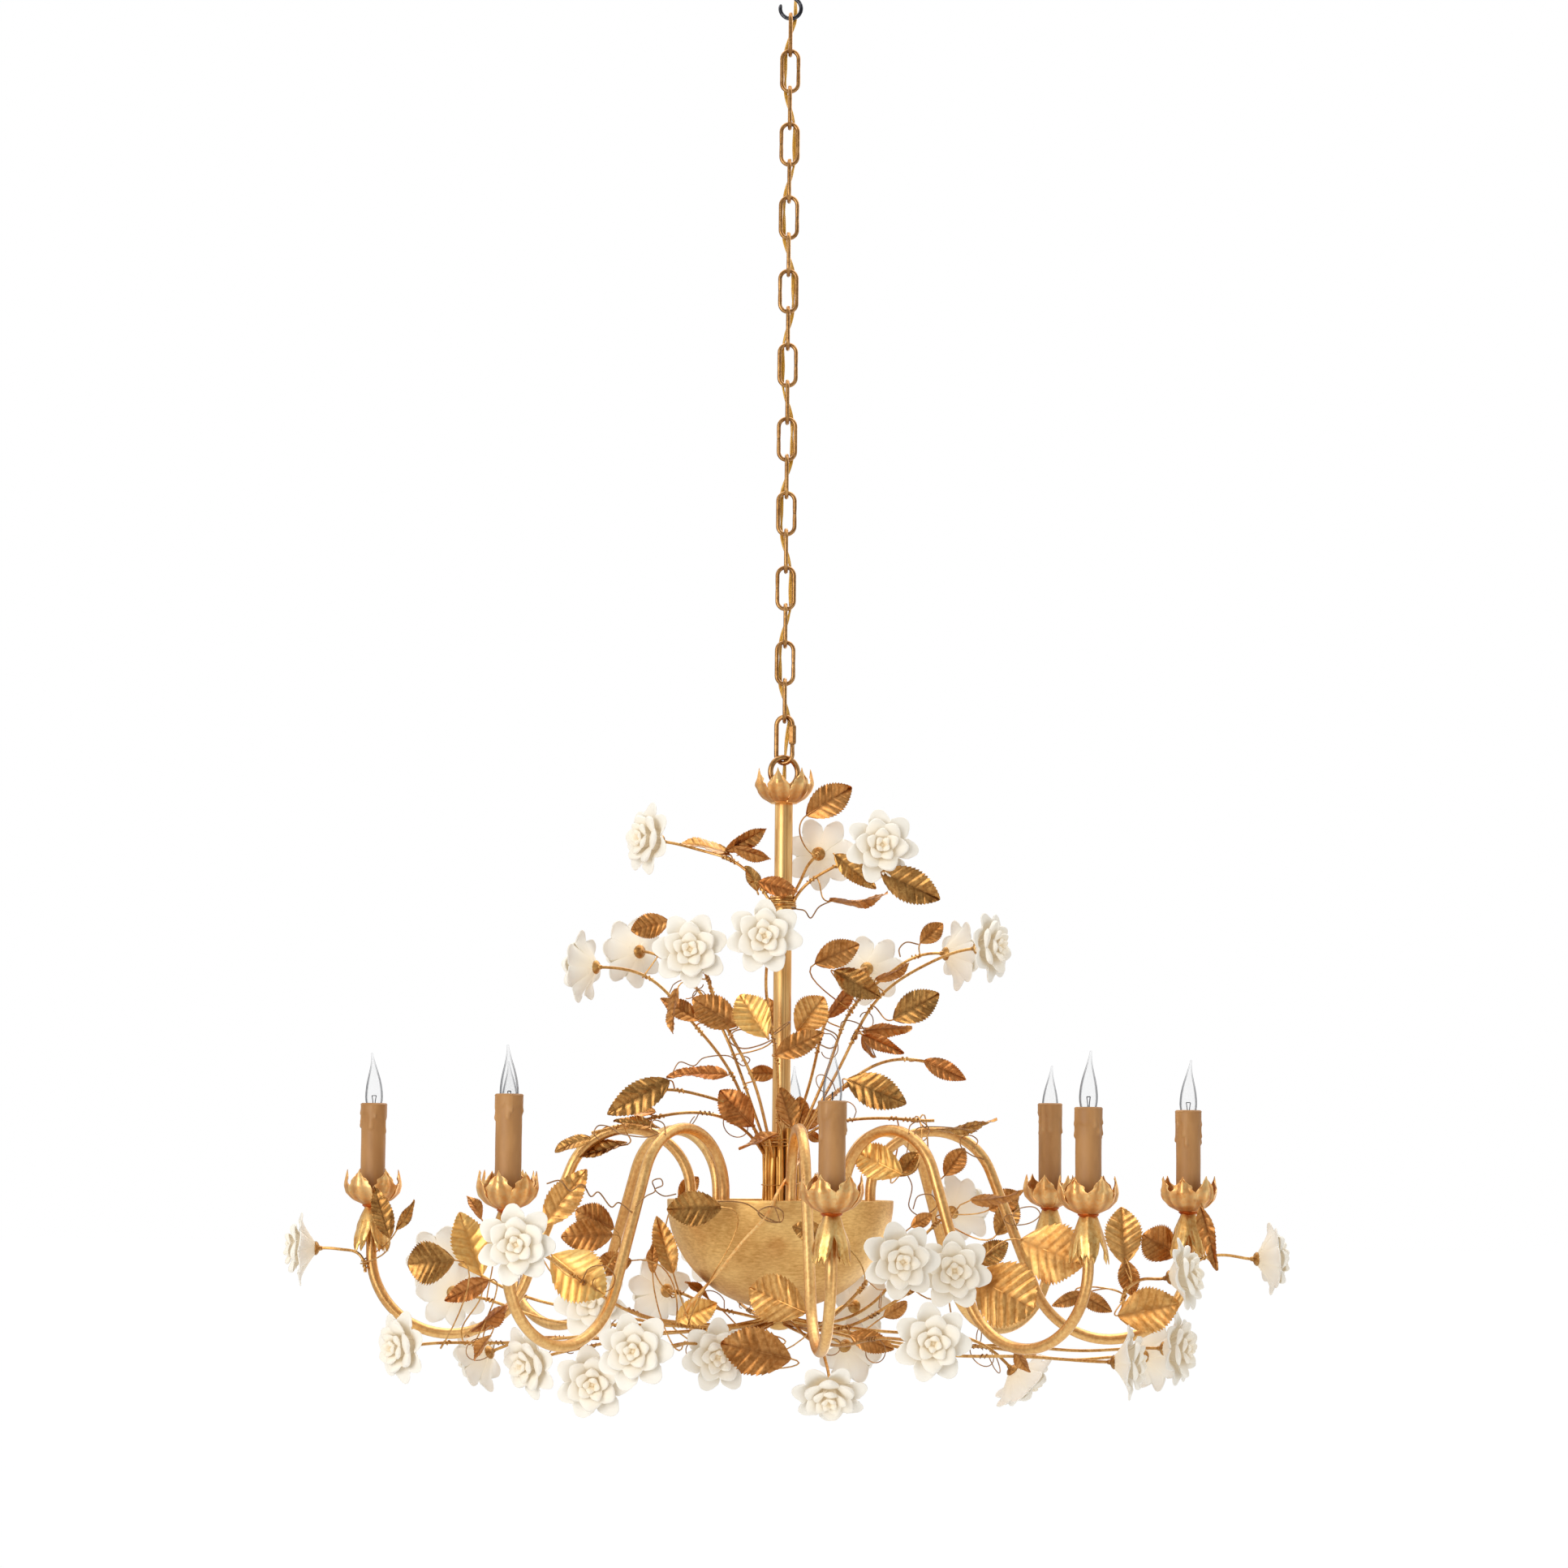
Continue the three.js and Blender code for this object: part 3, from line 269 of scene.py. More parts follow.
@dataclass(frozen=True)
class Gilt:
    """Metal leaf over a warm ground: cloudy, brushed one way, and browner in its hollows as painted
    shade.
    """

    name: Finish
    bright: Colour
    body: Colour
    brown: Colour
    grain: Colour = (1, 1, 1)  # how the brush marks are stretched
    marks: float = 300.0  # brush marks to the metre across the grain
    cloud: float = 46.0  # clouds to the metre
    wear: float = 0.3  # how much of the leaf has gone brown in the open
    roughness: float = 0.34
    relief: float = 0.35

    def paint(self) -> bpy.types.Material:
        """Mixes the finish.

        Returns:
            Its material.
        """
        graph = Paint(self.name.value)
        where = graph.place()
        clouds = graph.noise(where, self.cloud, 5, 0.62)
        brush = graph.noise(graph.place(self.grain), self.marks, 3, 0.6)
        fine = graph.noise(where, 900, 2)
        hollow = graph.mark("hollow")
        lit = (clouds * 0.55 + brush * 0.55).between(0.38, 0.8)
        worn = (1 - clouds * 0.6 - brush * 0.4).between(0.62 - self.wear * 0.4, 0.86)
        toned = graph.blend(lit, self.body, self.bright)
        aged = graph.blend((worn * self.wear * 1.5).clamped(), toned, self.brown)
        # painted shade: the hollows go towards the brown, more where the brush marks are high
        shaded = graph.blend((hollow * (0.55 + brush * 0.5)).clamped(), aged, self.brown)
        rough = self.roughness + (brush - 0.5) * 0.14 + hollow * 0.2
        height = brush * 0.7 + fine * 0.3
        return graph.finish(
            Base_Color=shaded,
            Metallic=1.0,
            Roughness=rough.clamped(),
            Normal=graph.bump(height, self.relief, 0.0004),
        )


@dataclass(frozen=True)
class Porcelain:
    """Unglazed white porcelain with a painted glow: creamier down between its petals, and faintly
    emitting.
    """

    name: Finish = Finish.PORCELAIN
    white: Colour = srgb(242, 237, 226)
    # painted glow: the cream below fills the hollows, in colour and in emission, and the glow after
    # it is the faint emission in the open; both stand for light let through the thin walls
    glow_cream: Colour = srgb(240, 225, 197)
    glow: Colour = (0.3, 0.28, 0.25)  # what the thin walls let through in the open

    def paint(self) -> bpy.types.Material:
        """Mixes the finish.

        Returns:
            Its material.
        """
        graph = Paint(self.name.value)
        where = graph.place()
        hollow = graph.mark("hollow")
        clouds = graph.noise(where, 60, 3)
        # painted glow: the hollows go to the cream, with a little more at random from the clouds
        colour = graph.blend((hollow * 0.9 + clouds * 0.2).clamped(), self.white, self.glow_cream)
        return graph.finish(
            Base_Color=colour,
            Roughness=0.42 + clouds * 0.14,
            Specular_IOR_Level=0.25,
            # painted glow: a faint emission, creamier in the hollows, though the porcelain is no
            # lamp
            Emission_Color=graph.blend(hollow.clamped(), self.glow, self.glow_cream),
            Emission_Strength=0.13,
            Normal=graph.bump(graph.noise(where, 160, 2), 0.05, 0.0004),
        )


@dataclass(frozen=True)
class Wax:
    """Tan resin that stands for dripped wax."""

    name: Finish = Finish.WAX
    body: Colour = srgb(182, 131, 74)
    deep: Colour = srgb(164, 114, 60)
    pale: Colour = srgb(200, 152, 98)

    def paint(self) -> bpy.types.Material:
        """Mixes the finish.

        Returns:
            Its material.
        """
        graph = Paint(self.name.value)
        where = graph.place()
        clouds = graph.noise(graph.place((1, 1, 0.3)), 70, 4)
        run = graph.mark("hollow")
        toned = graph.blend(clouds.between(0.35, 0.7), self.deep, self.body)
        colour = graph.blend((run * 0.6).clamped(), toned, self.pale)
        return graph.finish(
            Base_Color=colour,
            Roughness=0.42 + clouds * 0.2,
            Subsurface_Weight=0.1,
            Subsurface_Radius=(0.003, 0.0016, 0.0008),
            Subsurface_Scale=1.0,
            Normal=graph.bump(graph.noise(where, 300, 3), 0.12, 0.0006),
        )


@dataclass(frozen=True)
class Steel:
    """Dark drawn steel, slightly rubbed."""

    name: Finish
    dark: Colour
    pale: Colour
    roughness: float = 0.36

    def paint(self) -> bpy.types.Material:
        """Mixes the finish.

        Returns:
            Its material.
        """
        graph = Paint(self.name.value)
        where = graph.place()
        rubbed = graph.noise(where, 240, 4, 0.6)
        colour = graph.blend(rubbed.between(0.4, 0.75), self.dark, self.pale)
        rough = self.roughness + (rubbed - 0.5) * 0.2
        normal = graph.bump(graph.noise(where, 1500, 2), 0.12, 0.0002)
        return graph.finish(Base_Color=colour, Metallic=1.0, Roughness=rough, Normal=normal)


@dataclass(frozen=True)
class Glass:
    """Clear lamp glass, which darkens where it is seen edge on: a painted dark rim."""

    name: Finish = Finish.GLASS
    clear: Colour = srgb(150, 152, 158)
    edge: Colour = srgb(38, 38, 46)

    def paint(self) -> bpy.types.Material:
        """Mixes the finish.

        Returns:
            Its material.
        """
        graph = Paint(self.name.value)
        edge = graph.node("ShaderNodeLayerWeight", {}, {"Blend": 0.5}, "Facing")
        return graph.finish(
            # painted dark rim: edge-on glass goes to the dark edge colour and turns opaque,
            # standing for refraction at the rim
            Base_Color=graph.blend(edge.between(0.3, 0.8), self.clear, self.edge),
            Roughness=0.05,
            Alpha=0.03 + edge.between(0.3, 0.85) * 0.8,
        )


@dataclass(frozen=True)
class Sheath:
    """The clear gold plastic of a twin cord, over its brighter strands."""

    name: Finish = Finish.CORD
    gold: Colour = srgb(214, 160, 44)
    strand: Colour = srgb(166, 110, 34)

    def paint(self) -> bpy.types.Material:
        """Mixes the finish.

        Returns:
            Its material.
        """
        graph = Paint(self.name.value)
        strands = graph.noise(graph.place((1, 1, 0.25)), 900, 2)
        hollow = graph.mark("hollow")
        # painted shade: the cord's thin middle tube, fully hollow, takes the strand colour; the
        # stretched noise gives the strands
        share = (strands.between(0.4, 0.7) * 0.5 + hollow * 0.7).clamped()
        colour = graph.blend(share, self.gold, self.strand)
        return graph.finish(
            Base_Color=colour,
            Roughness=0.26 + strands * 0.12,
            Metallic=0.25,
            Coat_Weight=0.4,
            Coat_Roughness=0.15,
        )


# ---- mesh building

Array = np.ndarray
HERE = Matrix.Identity(4)
SHARP = math.radians(42)  # the least angle between faces that shows as an edge


def turned(degrees: float) -> Matrix:
    """A turn about the upright axis."""
    return Matrix.Rotation(math.radians(degrees), 4, "Z")


def moved(x: float, y: float, z: float) -> Matrix:
    """A move along each axis."""
    return Matrix.Translation((x, y, z))


def heading(bearing: float, tilt: float) -> Vector:
    """The direction that a bearing and a tilt give.

    Args:
        bearing: Its angle round the axis, in degrees.
        tilt: How far it points above the horizontal, in degrees.

    Returns:
        It, one long.
    """
    level = math.cos(math.radians(tilt))
    angle = math.radians(bearing)
    rise = math.sin(math.radians(tilt))
    return Vector((level * math.cos(angle), level * math.sin(angle), rise))


def spun(count: int) -> Array:
    """Evenly spaced angles all the way round, in radians."""
    return np.arange(count) * (2 * math.pi / count)


def unit(vectors: Array) -> Array:
    """The same directions, each one long."""
    return vectors / np.maximum(np.linalg.norm(vectors, axis=-1, keepdims=True), 1e-9)


def gather(x: Array | float, y: Array | float, z: Array | float) -> Array:
    """Points from their coordinates, each given for all of them or for a row or a column."""
    return np.stack(np.broadcast_arrays(x, y, z), axis=-1)


def polar(reach: Array | float, angle: Array | float, height: Array | float) -> Array:
    """Points from how far they are from the axis, their angles in radians and their heights."""
    return gather(reach * np.cos(angle), reach * np.sin(angle), height)


def arc(x: float, z: float, radius: float, start: float, end: float, steps: int) -> Array:
    """Points on an arc in the upright plane through X."""
    angles = np.radians(np.linspace(start, end, steps + 1))  # from +X towards +Z
    return gather(x + radius * np.cos(angles), 0.0, z + radius * np.sin(angles))


def spline(points: Sequence[Sequence[float]], steps: int) -> Array:
    """A smooth line through points.

    Args:
        points: What it passes through.
        steps: How many steps it takes from each to the next.

    Returns:
        Its points.
    """
    knots = np.array(points, float)
    padded = np.vstack([2 * knots[0] - knots[1], knots, 2 * knots[-1] - knots[-2]])
    line = []
    for before, start, end, after in zip(padded, padded[1:], padded[2:], padded[3:]):
        for share in np.arange(steps) / steps:
            bend = 2 * before - 5 * start + 4 * end - after
            turn = 3 * start - before - 3 * end + after
            way = (end - before) * share + bend * share**2 + turn * share**3
            line.append(start + way / 2)
    line.append(knots[-1])
    return np.array(line)


def bezier(corners: Sequence[Vector], steps: int) -> Array:
    """A line that leaves its first corner for its second and ends at its last from its third.

    Args:
        corners: The four.
        steps: How many steps it takes.

    Returns:
        Its points.
    """
    share = np.linspace(0, 1, steps + 1)[:, None]
    back = 1 - share
    weights = (back**3, 3 * back**2 * share, 3 * back * share**2, share**3)
    return sum(weight * np.array(corner) for weight, corner in zip(weights, corners))


def crossways(line: Array) -> tuple[Array, Array]:
    """Two directions square to a line, turned as little as can be from point to point.

    Args:
        line: Its points.

    Returns:
        Each direction at every point.
    """
    ahead = unit(np.vstack([line[1] - line[0], line[2:] - line[:-2], line[-1] - line[-2]]))
    side = np.array((0.0, 1.0, 0.0) if abs(ahead[0][1]) < 0.8 else (1.0, 0.0, 0.0))
    sides = []
    for way in ahead:
        side = side - way * (side @ way)
        side = side / np.linalg.norm(side)
        sides.append(side)
    across = np.array(sides)
    return across, np.cross(ahead, across)


def quads(rows: int, columns: int, wrap: bool) -> list[tuple[int, ...]]:
    """The faces of a grid of points.

    Args:
        rows: How many rows it has.
        columns: How many points there are in each.
        wrap: Whether each row's end joins its start.

    Returns:
        The corners of each face.
    """
    faces = []
    for row in range(rows - 1):
        for column in range(columns if wrap else columns - 1):
            beside = (column + 1) % columns
            here, above = row * columns, (row + 1) * columns
            faces.append((here + column, here + beside, above + beside, above + column))
    return faces


class Shape:
    """A mesh being built in millimetres, each of its parts with a finish."""

    def __init__(self) -> None:
        """Starts with nothing in it."""
        self.points: list[Array] = []
        self.hollows: list[Array] = []
        self.faces: list[tuple[int, ...]] = []
        self.finishes: list[Finish] = []
        self.count = 0

    def add(
        self, points: Array, faces: Sequence[tuple[int, ...]], finish: Finish,
        hollow: Array | float = 0.0, at: Matrix = HERE,
    ) -> None:
        """Adds points and the faces between them.

        Args:
            points: Their places, in rows of three.
            faces: The corners of each face, counted from the first of these points.
            finish: What the faces are finished in.
            hollow: How sheltered each point is, from 0 to 1.
            at: Where the part stands.
        """
        flat = np.asarray(points, float).reshape(-1, 3)
        frame = np.array(at)
        self.points.append(flat @ frame[:3, :3].T + frame[:3, 3])
        self.hollows.append(np.broadcast_to(np.asarray(hollow, float).reshape(-1), len(flat)))
        self.faces.extend(tuple(self.count + corner for corner in face) for face in faces)
        self.finishes.extend([finish] * len(faces))
        self.count += len(flat)

    def rings(
        self, rows: Array, finish: Finish, hollow: Array | float = 0.0,
        at: Matrix = HERE, closed: bool = False,
    ) -> None:
        """Adds a skin over rings of points, closed at its ends, or joined end to end.

        Args:
            rows: The rings, each the same number of points.
            finish: What it is finished in.
            hollow: How sheltered each point is.
            at: Where it stands.
            closed: Whether the last ring joins the first.
        """
        count, sides = rows.shape[:2]
        faces = quads(count, sides, wrap=True)
        if closed:
            last = (count - 1) * sides
            for side in range(sides):
                beside = (side + 1) % sides
                faces.append((last + side, last + beside, beside, side))
        else:
            faces.append(tuple(reversed(range(sides))))
            faces.append(tuple(range((count - 1) * sides, count * sides)))
        self.add(rows, faces, finish, hollow, at)

    def tube(
        self, line: Array, radius: Array | float, finish: Finish, sides: int,
        at: Matrix = HERE, hollow: Array | float = 0.0,
    ) -> None:
        """Adds a round rod along a line.

        Args:
            line: The points of its middle.
            radius: Its radius, or one for each point.
            finish: What it is finished in.
            sides: How many faces go round it.
            at: Where it stands.
            hollow: How sheltered it is, or how sheltered at each point.
        """
        across, over = crossways(line)
        angles = spun(sides)[None, :, None]
        reach = np.broadcast_to(np.asarray(radius, float).reshape(-1, 1, 1), (len(line), 1, 1))
        around = across[:, None] * np.cos(angles) + over[:, None] * np.sin(angles)
        shelter = np.broadcast_to(np.asarray(hollow, float).reshape(-1, 1), (len(line), sides))
        self.rings(line[:, None] + around * reach, finish, shelter, at)

    def lathe(
        self, profile: Sequence[tuple[float, float]], finish: Finish, sides: int,
        at: Matrix = HERE, hollow: Array | float = 0.0, closed: bool = False,
    ) -> None:
        """Adds a body of revolution.

        Args:
            profile: Its radius and height at each ring.
            finish: What it is finished in.
            sides: How many faces go round it.
            at: Where it stands.
            hollow: How sheltered each ring is.
            closed: Whether the profile is itself a closed line, as of a tube.
        """
        reach, height = np.array(profile, float).T[:, :, None]
        rows = polar(reach, spun(sides), height)
        shelter = np.broadcast_to(np.asarray(hollow, float).reshape(-1, 1), rows.shape[:2])
        self.rings(rows, finish, shelter, at, closed)

    def sheet(
        self, grid: Array, thickness: float, finish: Finish, hollow: Array, at: Matrix
    ) -> None:
        """Adds a thin closed solid with a rounded edge, such as a petal.

        Args:
            grid: Rows and columns of points through its middle.
            thickness: From its face to its back.
            finish: What it is finished in.
            hollow: How sheltered each point is.
            at: Where it stands.
        """
        rows, columns = grid.shape[:2]
        normal = unit(np.cross(np.gradient(grid, axis=0), np.gradient(grid, axis=1)))
        edge = [(0, column) for column in range(columns - 1)]
        edge += [(row, columns - 1) for row in range(rows - 1)]
        edge += [(rows - 1, column) for column in range(columns - 1, 0, -1)]
        edge += [(row, 0) for row in range(rows - 1, 0, -1)]
        rim_rows, rim_columns = np.array(edge).T
        border = grid[rim_rows, rim_columns]
        inner = grid[rim_rows.clip(1, rows - 2), rim_columns.clip(1, columns - 2)]
        outward = unit(border - inner)
        shelter = np.broadcast_to(np.asarray(hollow, float), (rows, columns))
        face = grid + normal * thickness / 2
        back = grid - normal * thickness / 2
        bead = border + outward * thickness / 2
        points = np.vstack([face.reshape(-1, 3), back.reshape(-1, 3), bead])
        shelters = [shelter.ravel(), shelter.ravel(), shelter[rim_rows, rim_columns]]
        count = rows * columns
        faces = quads(rows, columns, wrap=False)
        faces += [tuple(count + corner for corner in reversed(quad)) for quad in faces]
        corners = (rim_rows * columns + rim_columns).tolist()
        for here, corner in enumerate(corners):
            beside = (here + 1) % len(edge)
            after = corners[beside]
            bead, bead_after = 2 * count + here, 2 * count + beside
            faces.append((after, corner, bead, bead_after))
            faces.append((count + corner, count + after, bead_after, bead))
        self.add(points, faces, finish, np.concatenate(shelters), at)

    def build(self, name: str, paints: dict[Finish, bpy.types.Material]) -> bpy.types.Object:
        """Makes the object, in metres.

        Args:
            name: Of the object.
            paints: The material of each finish.

        Returns:
            The object.
        """
        mesh = bpy.data.meshes.new(name)
        mesh.from_pydata(np.vstack(self.points) * MM, [], self.faces)
        mesh.validate()
        used = list(dict.fromkeys(self.finishes))
        for finish in used:
            mesh.materials.append(paints[finish])
        slots = [used.index(finish) for finish in self.finishes]
        mesh.polygons.foreach_set("material_index", slots)
        mesh.polygons.foreach_set("use_smooth", [True] * len(slots))
        # the hollow value paints shade into the gilt and the cord's groove, paints a glow into the
        # porcelain, and marks the wax's runs
        shelter = mesh.attributes.new("hollow", "FLOAT", "POINT")
        shelter.data.foreach_set("value", np.concatenate(self.hollows).astype(np.float32))
        mesh.set_sharp_from_angle(angle=SHARP)
        made = bpy.data.objects.new(name, mesh)
        bpy.context.scene.collection.objects.link(made)
        return made


# ---- sizes shared by the pieces


@dataclass(frozen=True)
class Levels:
    """Heights along the axis, in millimetres below the ceiling, and what they follow from."""

    hook_drop: float = 46.0
    hook_wire: float = 4.0
    seat: float = 0.3
    turned_seat: float = 0.7
    link_wire: float = 4.1
    link_pitch: float = 37.5
    link_count: int = 19
    quick_wire: float = 4.6
    quick_length: float = 51.0
    loop_wire: float = 5.4
    loop_diameter: float = 35.0
    neck_length: float = 11.0
    cup_floor: float = 2.0
    stem_top: float = 390.0

    @property
    def link_length(self) -> float:
        """Of a link, between the middles of its two bars."""
        return self.link_pitch + self.seat + self.link_wire

    def link(self, number: int) -> float:
        """The middle of a link, the first at the top."""
        top = self.hook_wire / 2 + self.seat + self.link_wire / 2 - self.link_length / 2
        return top - self.hook_drop - (number - 1) * self.link_pitch

    @property
    def last_bar(self) -> float:
        """The middle of the bar at the foot of the last link."""
        return self.link(self.link_count) - self.link_length / 2

    @property
    def quick_top(self) -> float:
        """The middle of the quick link's upper bend."""
        return self.last_bar + self.link_wire / 2 + self.turned_seat + self.quick_wire / 2

    @property
    def quick_bottom(self) -> float:
        """The middle of its lower bend."""
        return self.quick_top - self.quick_length + self.quick_wire

    @property
    def loop_top(self) -> float:
        """The middle of the wire at the top of the hanging loop."""
        return self.quick_bottom + self.quick_wire / 2 + self.turned_seat + self.loop_wire / 2

    @property
    def loop_radius(self) -> float:
        """The hanging loop's radius, to the middle of its wire."""
        return (self.loop_diameter - self.loop_wire) / 2

    @property
    def cup(self) -> float:
        """The upper side of the top cup's floor."""
        return self.loop_top - 2 * self.loop_radius - self.loop_wire / 2 - self.neck_length

    @property
    def rim(self) -> float:
        """The bowl's rim, which the heights of the fixture are measured from."""
        return self.cup - self.cup_floor - self.seat - self.stem_top


LEVELS = Levels()
RIM = moved(0, 0, LEVELS.rim)


def stadium(radius: float, straight: float, seam: float, steps: int = 14) -> Array:
    """The middle of a bent link's wire, from one side of its seam round to the other.

    Args:
        radius: Of its bends.
        straight: Half the length of its straight sides.
        seam: The width of the seam, half way up its right-hand side.
        steps: Steps round each bend.

    Returns:
        Its points.
    """
    right = gather(radius, 0.0, np.array((seam / 2, straight / 2)))
    left = gather(-radius, 0.0, straight * np.array((0.4, -0.4)))
    over = arc(0, straight, radius, 0, 180, steps)
    under = arc(0, -straight, radius, 180, 360, steps)
    return np.vstack([right, over, left, under, right[::-1] * (1, 1, -1)])


# ---- hook, chain, quick link, cord


@dataclass(frozen=True)
class Hook:
    """The screw hook in the ceiling, its open tip to the left."""

    eye: float = 17.0
    wire: float = LEVELS.hook_wire
    tip: float = 158.0
    collar: float = 6.0
    collar_height: float = 2.5

    def build(self) -> Shape:
        """Bends the rod below its collar, its tip rounded off.

        Returns:
            Its mesh.
        """
        shape = Shape()
        radius = (self.eye + self.wire) / 2
        middle = radius - LEVELS.hook_drop
        bend = arc(0, middle, radius, self.tip, 400, 36)
        shank = [bend[-1], (radius * 0.3, 0, middle + radius * 1.12), (0, 0, middle + radius * 1.6)]
        shank += [(0, 0, middle + radius * 2.2), (0, 0, -self.collar_height / 2)]
        line = np.vstack([bend, spline(shank, 6)[1:]])
        reach = np.full(len(line), self.wire / 2)
        reach[:3] *= (0.45, 0.82, 0.97)
        shape.tube(line, reach, Finish.HOOK, 14)
        self._add_collar(shape)
        return shape

    def _add_collar(self, shape: Shape) -> None:
        """A turned collar that closes on the ceiling, with a bead under it.

        Args:
            shape: What it is added to.
        """
        reach, height, neck = self.collar, self.collar_height, self.wire / 2
        bead = [(neck, -height * 2.1), (neck + 0.8, -height * 1.5), (neck + 1.2, -height * 1.1)]
        plate = [(reach * 0.9, -height * 0.9), (reach, -height * 0.6), (reach, 0), (neck, 0)]
        shape.lathe(bead + plate, Finish.HOOK, 32)


@dataclass(frozen=True)
class ChainLink:
    """A link bent from round wire, its ends butted together on one side."""

    wire: float = LEVELS.link_wire
    width: float = 20.6
    seam: float = 0.4

    def build(self, number: int) -> Shape:
        """Bends one link; the odd ones stand edge on to the front.

        Args:
            number: Which, from 1 at the top.

        Returns:
            Its mesh.
        """
        shape = Shape()
        radius = (self.width - self.wire) / 2
        straight = LEVELS.link_length / 2 - radius
        at = moved(0, 0, LEVELS.link(number)) @ turned(90 if number % 2 else 0)
        if number % 4 == 0:
            at = at @ turned(180)
        line = stadium(radius, straight, self.seam)
        reach = np.full(len(line), self.wire / 2)
        reach[[0, -1]] *= 0.9
        shape.tube(line, reach, Finish.CHAIN, 14, at)
        # painted shadow: a dark rod that fills the gap at the seam, standing for the shade in it
        gap_shadow = gather(radius, 0.0, self.seam * np.array((-1, 0, 1)))
        shape.tube(gap_shadow, self.wire * 0.4, Finish.SEAM_SHADOW, 10, at)
        return shape


@dataclass(frozen=True)
class QuickLink:
    """The threaded link between the chain and the fixture, and the nut that closes it."""

    wire: float = LEVELS.quick_wire
    width: float = 22.0
    turn: float = -25.0
    mouth: float = 8.0
    lap: float = 2.0
    nut_length: float = 18.6
    nut_across: float = 8.0

    @property
    def radius(self) -> float:
        """Of its bends, to the middle of the wire."""
        return (self.width - self.wire) / 2

    @property
    def straight(self) -> float:
        """Half the length of a straight side."""
        return (LEVELS.quick_length - self.width) / 2

    @property
    def place(self) -> Matrix:
        """Where its middle is and the way that it faces."""
        return moved(0, 0, (LEVELS.quick_top + LEVELS.quick_bottom) / 2) @ turned(self.turn)

    def build(self) -> Shape:
        """Bends the open link, with a thread cut on one end at its mouth.

        Returns:
            Its mesh.
        """
        shape = Shape()
        top = self.straight - LEVELS.seat - self.lap
        over = arc(0, self.straight, self.radius, 0, 180, 16)
        under = arc(0, -self.straight, self.radius, 180, 360, 16)
        turns = gather(self.radius, 0.0, top - self.mouth + np.linspace(-12, 0, 25))
        line = np.vstack([[(self.radius, 0, top)], over, under, turns])
        reach = np.full(len(line), self.wire / 2)
        reach[-26:] -= np.where(np.arange(26) % 2, 0.22, 0.0)
        shape.tube(line, reach, Finish.CHAIN, 16, self.place)
        return shape

    def build_nut(self) -> Shape:
        """Cuts the six-sided nut, its corners chamfered at both ends.

        Returns:
            Its mesh.
        """
        shape = Shape()
        bore = self.wire / 2 + 0.35
        corner = self.nut_across / 2
        half = self.nut_length / 2
        middle = self.straight - LEVELS.seat - half
        at = self.place @ moved(self.radius, 0, middle)
        upper = [(corner, half - 1.8), (corner * 0.97, half - 1.1), (corner * 0.86, half)]
        upper += [(bore, half)]
        lower = [(reach, -height) for reach, height in reversed(upper)]
        angles = spun(24)
        flat = math.cos(math.pi / 6) / np.cos((angles % (math.pi / 3)) - math.pi / 6)
        rows = [
            polar(reach if reach <= bore else reach * flat, angles, height)
            for reach, height in lower + upper
        ]
        shape.rings(np.array(rows), Finish.CHAIN, at=at, closed=True)
        return shape


